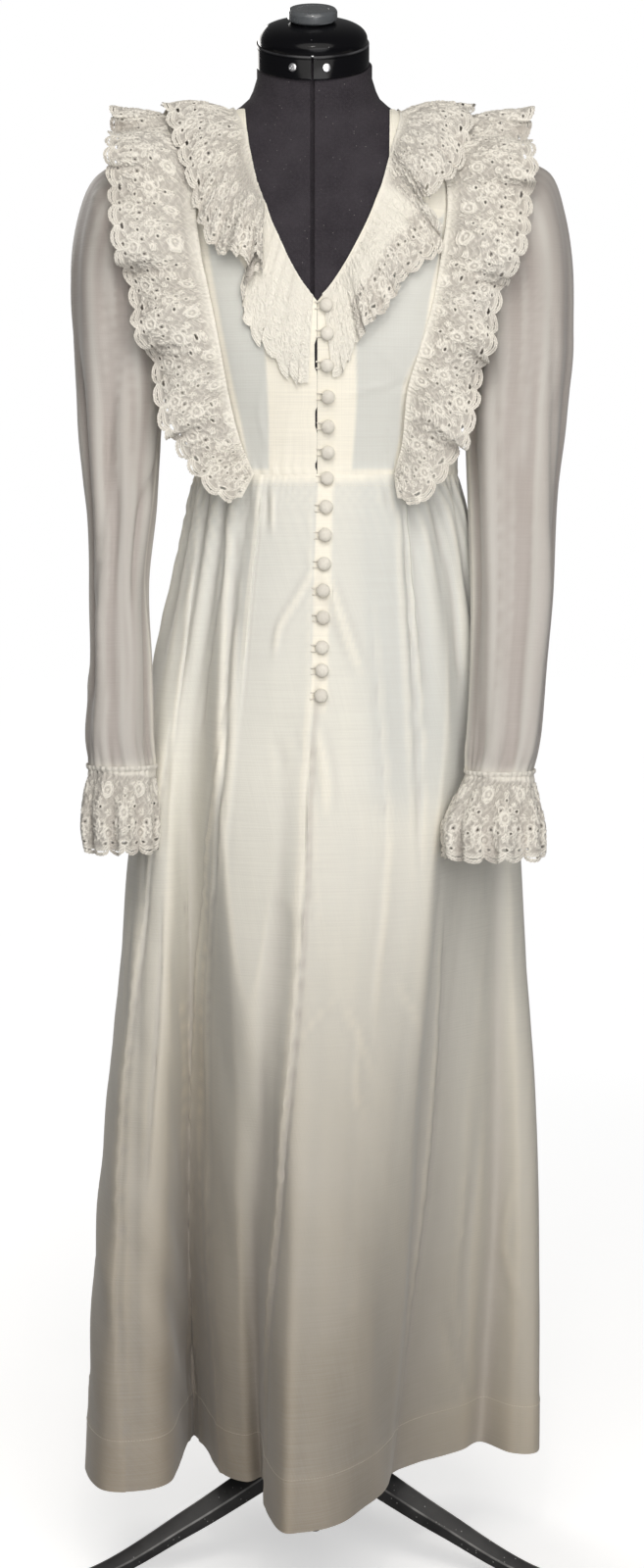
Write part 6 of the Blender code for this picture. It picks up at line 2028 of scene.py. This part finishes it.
class RepeatTree:
    """A Geometry Nodes tree with named inputs, ending in realized instances and a material."""

    def __init__(self, name: str, inputs: dict[str, float]) -> None:
        """Start the tree with its sockets."""
        self.tree = bpy.data.node_groups.new(name, "GeometryNodeTree")
        face = self.tree.interface
        face.new_socket("Geometry", in_out="INPUT", socket_type="NodeSocketGeometry")
        for key, value in inputs.items():
            face.new_socket(key, in_out="INPUT", socket_type="NodeSocketFloat").default_value = value
        face.new_socket("Material", in_out="INPUT", socket_type="NodeSocketMaterial")
        face.new_socket("Geometry", in_out="OUTPUT", socket_type="NodeSocketGeometry")
        self.kit = NodeKit(self.tree)
        self.start, self.end = self.kit.add("NodeGroupInput").outputs, self.kit.add("NodeGroupOutput")

    def node(self, kind: str, inputs: dict | None = None, **settings: object) -> Socket:
        """Add a geometry node, as the node kit does, and return its first output."""
        return self.kit.add(f"GeometryNode{kind}", inputs, **settings).outputs[0]

    def raised(self, share: float, **wide: Socket) -> Socket:
        """A vector whose height is a share of the Height input, with other places by name."""
        height = self.kit.math("MULTIPLY", self.start["Height"], share)
        return self.kit.add("ShaderNodeCombineXYZ", {**wide, "Z": height}).outputs[0]

    def copy(self, points: Socket, shape: Socket, facing: Socket) -> None:
        """Put a shape on every point, turned to its direction, and finish the tree.

        Args:
            points: the points.
            shape: what stands on each of them.
            facing: the direction of the shape's upright axis.
        """
        turn = self.kit.add("FunctionNodeAlignRotationToVector", {"Vector": facing}, axis="Z").outputs[0]
        self.finish(self.node("InstanceOnPoints", {"Points": points, "Instance": shape, "Rotation": turn}))

    def finish(self, geometry: Socket) -> None:
        """Realize the instances, shade them smooth and give them their material."""
        real = self.node("RealizeInstances", {"Geometry": geometry})
        smooth = self.node("SetShadeSmooth", {"Geometry": real})
        painted = self.node("SetMaterial", {"Geometry": smooth, "Material": self.start["Material"]})
        self.kit.feed(self.end, {0: painted})

    def run(
        self, name: str, mesh: bpy.types.Mesh, values: dict, material: bpy.types.Material
    ) -> bpy.types.Object:
        """Run the tree over a mesh.

        Args:
            name: the new piece's name.
            mesh: the points or lines that it works on.
            values: the sizes by input name.
            material: the piece's material.

        Returns:
            A plain mesh object.
        """
        seed = new_object(f"{name}_lines", mesh, material)
        modifier = seed.modifiers.new("repeat", "NODES")
        modifier.node_group = self.tree
        values = {**values, "Material": material}
        for item in self.tree.interface.items_tree:
            if item.in_out == "INPUT" and item.name in values:
                modifier[item.identifier] = values[item.name]
        result = baked(seed)
        bpy.data.objects.remove(seed)
        return new_object(name, result, material)


def line_mesh(name: str, runs: Sequence[Array], facing: Sequence[Array] = ()) -> bpy.types.Mesh:
    """A mesh of separate runs of edges, in the part's own frame, with the way each point faces."""
    spots, edges = [], []
    for run in runs:
        first = len(spots)
        spots += run.tolist()
        edges += [(first + k, first + k + 1) for k in range(len(run) - 1)]
    mesh = bpy.data.meshes.new(name)
    mesh.from_pydata(spots, edges, [])
    if len(facing):
        attribute = mesh.attributes.new("facing", "FLOAT_VECTOR", "POINT")
        attribute.data.foreach_set("vector", np.array(facing, np.float32).ravel())
    return mesh


def button_tree() -> RepeatTree:
    """A covered button on its shank at every point, facing the way that the point does."""
    tree = RepeatTree("covered_buttons", {"Radius": 0.007, "Height": 0.0062})
    radius = tree.start["Radius"]
    ball = tree.node("MeshUVSphere", {"Segments": 30, "Rings": 18, "Radius": 1.0})
    flat, lift = tree.raised(0.60, X=radius, Y=radius), tree.raised(0.52)
    dome = tree.node("Transform", {"Geometry": ball, "Translation": lift, "Scale": flat})
    rim = tree.node("MeshCircle", {"Vertices": 30, "Radius": tree.kit.math("MULTIPLY", radius, 0.90)})
    cord = tree.node("CurvePrimitiveCircle", {"Resolution": 6, "Radius": 0.0006})
    welt = tree.node("CurveToMesh", {0: tree.node("MeshToCurve", {0: rim}), 1: cord})
    welt = tree.node("Transform", {"Geometry": welt, "Translation": tree.raised(0.22)})
    shank = tree.node("MeshCylinder", {"Vertices": 14, "Radius": 0.0022, "Depth": 0.0030})
    shank = tree.node("Transform", {"Geometry": shank, "Translation": (0.0, 0.0, -0.0002)})
    whole = tree.kit.add("GeometryNodeJoinGeometry")
    for part in (dome, welt, shank):
        tree.kit.feed(whole, {0: part})
    facing = tree.node("InputNamedAttribute", {"Name": "facing"}, data_type="FLOAT_VECTOR")
    tree.copy(tree.start[0], whole.outputs[0], facing)
    return tree


def cord_tree() -> RepeatTree:
    """A round cord along every line."""
    tree = RepeatTree("round_cords", {"Radius": 0.0007})
    curve = tree.node("MeshToCurve", {0: tree.start[0]})
    ring = tree.node("CurvePrimitiveCircle", {"Resolution": 8, "Radius": tree.start["Radius"]})
    tree.finish(tree.node("CurveToMesh", {0: curve, 1: ring, "Fill Caps": True}))
    return tree


def stitch_tree() -> RepeatTree:
    """A run of short stitches along every line."""
    tree = RepeatTree("running_stitches", {"Spacing": 0.003, "Length": 0.0019, "Radius": 0.00022})
    curve = tree.node("MeshToCurve", {0: tree.start[0]})
    inputs = {"Curve": curve, "Length": tree.start["Spacing"]}
    spots = tree.kit.add("GeometryNodeCurveToPoints", inputs, mode="LENGTH").outputs
    sizes = {"Vertices": 5, "Radius": tree.start["Radius"], "Depth": tree.start["Length"]}
    tree.copy(spots[0], tree.node("MeshCylinder", sizes), spots["Tangent"])
    return tree


@dataclass
class Placket:
    """The buttons down the front edge, and the tape of loops that they fasten to."""

    finishes: Wardrobe
    shape: FormShape
    skirt: Skirt
    button_radius: float = 0.0070
    button_height: float = 0.0066
    lift: float = 0.0016
    off_cloth: float = 0.0004
    reach: float = 0.0130
    spring: float = 0.0115
    half: float = 0.0031
    cord: float = 0.00085
    # The loops that droop more than the rest
    slack: tuple = (10, 11, 12)

    def on_front(self, x: float, z: float, out: float) -> tuple[Array, Array]:
        """A point over the front of the dress and the way the cloth faces there."""
        if z >= WAIST_Z:
            level = np.array(z)
            angle, room = self.shape.angle_at_x(level, np.array(x)), self.shape.clearance(level)
            point = self.shape.point(level, angle, room + CLOTH_ROOM - self.off_cloth)
            normal = self.shape.normal(point)
        else:
            index = int(np.argmin(np.abs(self.skirt.z[:, 0] - z)))
            row = self.skirt.finished[index]
            column = int(np.argmin(np.where(row[:, 1] > 0.05, np.abs(row[:, 0] - x), 1.0)))
            here, normal = row[column], self.skirt.normals[index, column]
            beside = row[(column + 1) % len(row)] - here
            point = here + beside * (x - here[0]) / beside[0] + normal * (CLOTH + self.off_cloth)
            point[2] = z
        return point + normal * out, normal

    def build(self) -> None:
        """Make the buttons and the loops."""
        spots, facing = [], []
        for z, x in BUTTONS:
            point, normal = self.on_front(x * MM, z * MM, self.lift)
            spots.append(to_world(point)[None])
            facing.append(normal * np.array([1.0, -1.0, 1.0]))
        names = [f"button_{k:02d}" for k in range(1, len(BUTTONS) + 1)]
        places, lines = line_mesh("button_places", spots, facing), line_mesh("loop_lines", self.loop_lines())
        dome = {"Radius": self.button_radius, "Height": self.button_height}
        for tree, name, mesh, sizes, nodes in (
            (button_tree(), "dress_buttons", places, dome, names),
            (cord_tree(), "dress_loops", lines, {"Radius": self.cord}, ["button_loops"]),
        ):
            ride_and_slot(tree.run(name, mesh, sizes, self.finishes["button_cloth"]), nodes)

    def loop_lines(self) -> list[Array]:
        """The loops round the buttons, springing from the front edge."""
        runs = []
        turns = np.linspace(math.pi * 0.5, -math.pi * 0.5, 15)
        for index, (z, x) in enumerate(BUTTONS):
            droop = 0.0012 if index in self.slack else 0.0003
            px = x * MM - self.spring + self.reach * np.maximum(np.cos(turns), 0.0) ** 0.55
            pz = z * MM + self.half * np.sin(turns) * 1.05 - droop * np.cos(turns)
            runs.append(to_world(np.array([self.on_front(a, b, 0.0007)[0] for a, b in zip(px, pz)])))
        return runs


@dataclass
class Stitching:
    """Fine running stitches: the hem, the neckline and the waist."""

    finishes: Wardrobe
    skirt: Skirt
    bodice: Bodice
    neck_in: float = 0.0030
    seam_in: float = 0.0042
    seam_top_z: float = 1.49
    waist_row: int = 2

    def build(self) -> None:
        """Make all the stitches as one piece."""
        hem_z = HEM_Z + self.skirt.hem_height - 0.002
        hem_row = int(np.argmin(np.abs(self.skirt.z[:, 0] - hem_z)))
        runs = [self.round_skirt(hem_row, 0.00015), self.round_skirt(self.waist_row, 0.0001)]
        z = self.bodice.rows()
        neck, low = z > V_POINT_Z + 0.004, z < self.seam_top_z
        for side in Side:
            centre, princess, _ = self.bodice.edges(side)
            runs.append(self.over_bodice(z[neck], centre[neck] - side.value * self.neck_in / BODICE_RADIUS))
            for offset in (self.seam_in, -self.seam_in):
                runs.append(self.over_bodice(z[low], princess[low] + offset / BODICE_RADIUS))
        values = {"Spacing": 0.0030, "Length": 0.0020, "Radius": 0.00020}
        mesh = line_mesh("stitch_lines", runs)
        ride_and_slot(stitch_tree().run("dress_stitches", mesh, values, self.finishes["thread"]), [])

    def over_bodice(self, z: Array, angle: Array) -> Array:
        """A line over the outside of the bodice."""
        points, normals = self.bodice.surface(z, angle)
        return to_world(points + normals * (CLOTH + 0.0002))

    def round_skirt(self, row: int, out: float) -> Array:
        """The line of stitches round a row of the skirt."""
        points = self.skirt.finished[row] + self.skirt.normals[row] * (CLOTH + out)
        return to_world(np.concatenate([points, points[:1]]))


# Floor, lights and camera


@dataclass
class Studio:
    """A plain pale floor and backdrop, soft lights, and the camera at the photograph's angle."""

    camera_place: tuple = (0.0078, -3.0125, 1.152)
    tilt: float = math.radians(84.0)
    lens: float = 64.8
    film: float = 36.0
    floor_radius: float = 14.0
    # Distances from the middle between which the floor fades
    fade: tuple = (0.5, 2.6)
    floor_glow: float = 0.52
    room_light: float = 0.13
    # Each light's name, place, aim, size, power and colour
    lights: tuple = (
        ("key_softbox", (0.16, -1.70, 2.10), (0.0, 0.0, 1.34), 2.3, 29.5, (1.0, 0.97, 0.925)),
        ("small_lamp", (0.02, -1.75, 2.30), (0.0, 0.0, 1.40), 0.16, 3.5, (1.0, 0.97, 0.93)),
        ("fill_softbox", (0.6, -2.6, 0.95), (0.0, 0.0, 0.85), 2.0, 24.0, (0.98, 0.98, 1.0)),
        ("back_softbox", (-1.2, 2.4, 2.3), (0.0, 0.0, 1.0), 1.8, 42.0, (1.0, 0.98, 0.95)),
    )

    def build(self) -> None:
        """Make the floor, the lights, the world and the camera."""
        self.build_floor()
        self.build_lights()
        self.build_world()
        camera = bpy.data.cameras.new("front_camera")
        camera.lens, camera.sensor_width, camera.sensor_fit = self.lens, self.film, "AUTO"
        obj = new_object("front_camera", camera)
        obj.location, obj.rotation_euler = self.camera_place, (self.tilt, 0.0, 0.0)
        bpy.context.scene.camera = obj

    def build_floor(self) -> None:
        """A round pale floor that fades into the white behind it."""
        p = Painter(None, "pale_floor", {
            "Roughness": 0.9, "Specular IOR Level": 0.1, "Emission Color": (1.0, 1.0, 1.0),
        })
        noise = p.add("ShaderNodeTexNoise", {"Vector": p.solid, "Scale": 3.0, "Detail": 4.0})
        away = p.add("ShaderNodeVectorMath", {0: p.solid}, operation="LENGTH").outputs["Value"]
        seen = p.add("ShaderNodeLightPath").outputs["Is Camera Ray"]
        fade = p.span(away, *self.fade)
        colour = p.blend(noise.outputs[0], (0.80, 0.80, 0.80), (0.85, 0.85, 0.845))
        colour = p.blend(fade, colour, (0.0, 0.0, 0.0))
        colour = p.blend(seen, (0.42, 0.42, 0.42), colour)
        glow = p.math("MULTIPLY", p.span(fade, 0.0, 1.0, (self.floor_glow, 1.0)), seen)
        p.feed(p.shader, {"Base Color": colour, "Emission Strength": glow})
        mesh = bpy.data.meshes.new("floor")
        angles = np.linspace(0, TURN, 96, endpoint=False)
        ring = join(np.cos(angles), np.sin(angles), 0.0) * self.floor_radius
        mesh.from_pydata(ring.tolist(), [], [list(range(len(ring)))])
        new_object("floor", mesh, p.material)

    def build_lights(self) -> None:
        """A large soft key high in front with a small lamp by it, and two weaker fills."""
        for name, place, aim, size, power, colour in self.lights:
            light = bpy.data.lights.new(name, "AREA")
            light.shape, light.size, light.energy, light.color = "DISK", size, power, colour
            obj = new_object(name, light)
            obj.location = place
            obj.rotation_euler = (Vector(aim) - Vector(place)).to_track_quat("-Z", "Y").to_euler()

    def build_world(self) -> None:
        """A pale world that lights softly and looks white behind the dress."""
        scene, world = bpy.context.scene, bpy.data.worlds.new("pale_room")
        world.use_nodes = True
        scene.world = world
        kit = NodeKit(world.node_tree)
        seen = kit.add("ShaderNodeLightPath").outputs["Is Camera Ray"]
        strength = kit.span(seen, 0.0, 1.0, (self.room_light, 1.0))
        kit.feed(kit.tree.nodes["Background"], {"Color": (1.0, 1.0, 1.0), "Strength": strength})
        scene.view_settings.view_transform, scene.view_settings.look = "Standard", "None"


def dress(finishes: Wardrobe, shape: FormShape) -> None:
    """Build the dress piece by piece."""
    bodice = Bodice(finishes, shape)
    bodice.build()
    skirt = Skirt(finishes, shape)
    skirt.build()
    for side, rings, creases, cuff in (
        (Side.RIGHT, SLEEVE_RIGHT, SLEEVE_RIGHT_CREASES, CUFF_RIGHT),
        (Side.LEFT, SLEEVE_LEFT, SLEEVE_LEFT_CREASES, CUFF_LEFT),
    ):
        Sleeve(finishes, shape, side, rings, creases).build()
        Cuff(finishes, side, cuff, rings[-1][2] * MM).build()
    # How many waves the frills have, how high they rise and how far they sway
    shoulder, neck = (10, 0.0120, -0.0112), (11, 0.0030, 0.0026)
    for seed, (place, side, stations, waves, flat) in enumerate((
        ("shoulder", Side.RIGHT, SHOULDER_LACE_RIGHT, shoulder, ()),
        ("shoulder", Side.LEFT, SHOULDER_LACE_LEFT, shoulder, ()),
        ("neck", Side.RIGHT, NECK_LACE_RIGHT, neck, NECK_FLAT_RIGHT),
        ("neck", Side.LEFT, NECK_LACE_LEFT, neck, NECK_FLAT_LEFT),
    ), 1):
        node, name = f"{place}_lace_{side.word}", f"dress_{place}_frill_{side.word}"
        LaceStrip(finishes, shape, node, name, stations, *waves, seed, flat).build()
    Placket(finishes, shape, skirt).build()
    Stitching(finishes, skirt, bodice).build()


def main() -> None:
    """Build the form, its stand, the dress and the studio, in that order."""
    logging.basicConfig(level=logging.INFO, format="%(name)s: %(message)s")
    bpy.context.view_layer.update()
    finishes, shape = Wardrobe(), FormShape()
    solids = SolidMaker(finishes)
    DressForm(solids, shape).build()
    TripodStand(solids).build()
    dress(finishes, shape)
    Studio().build()
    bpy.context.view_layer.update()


if __name__ == "__main__":
    main()
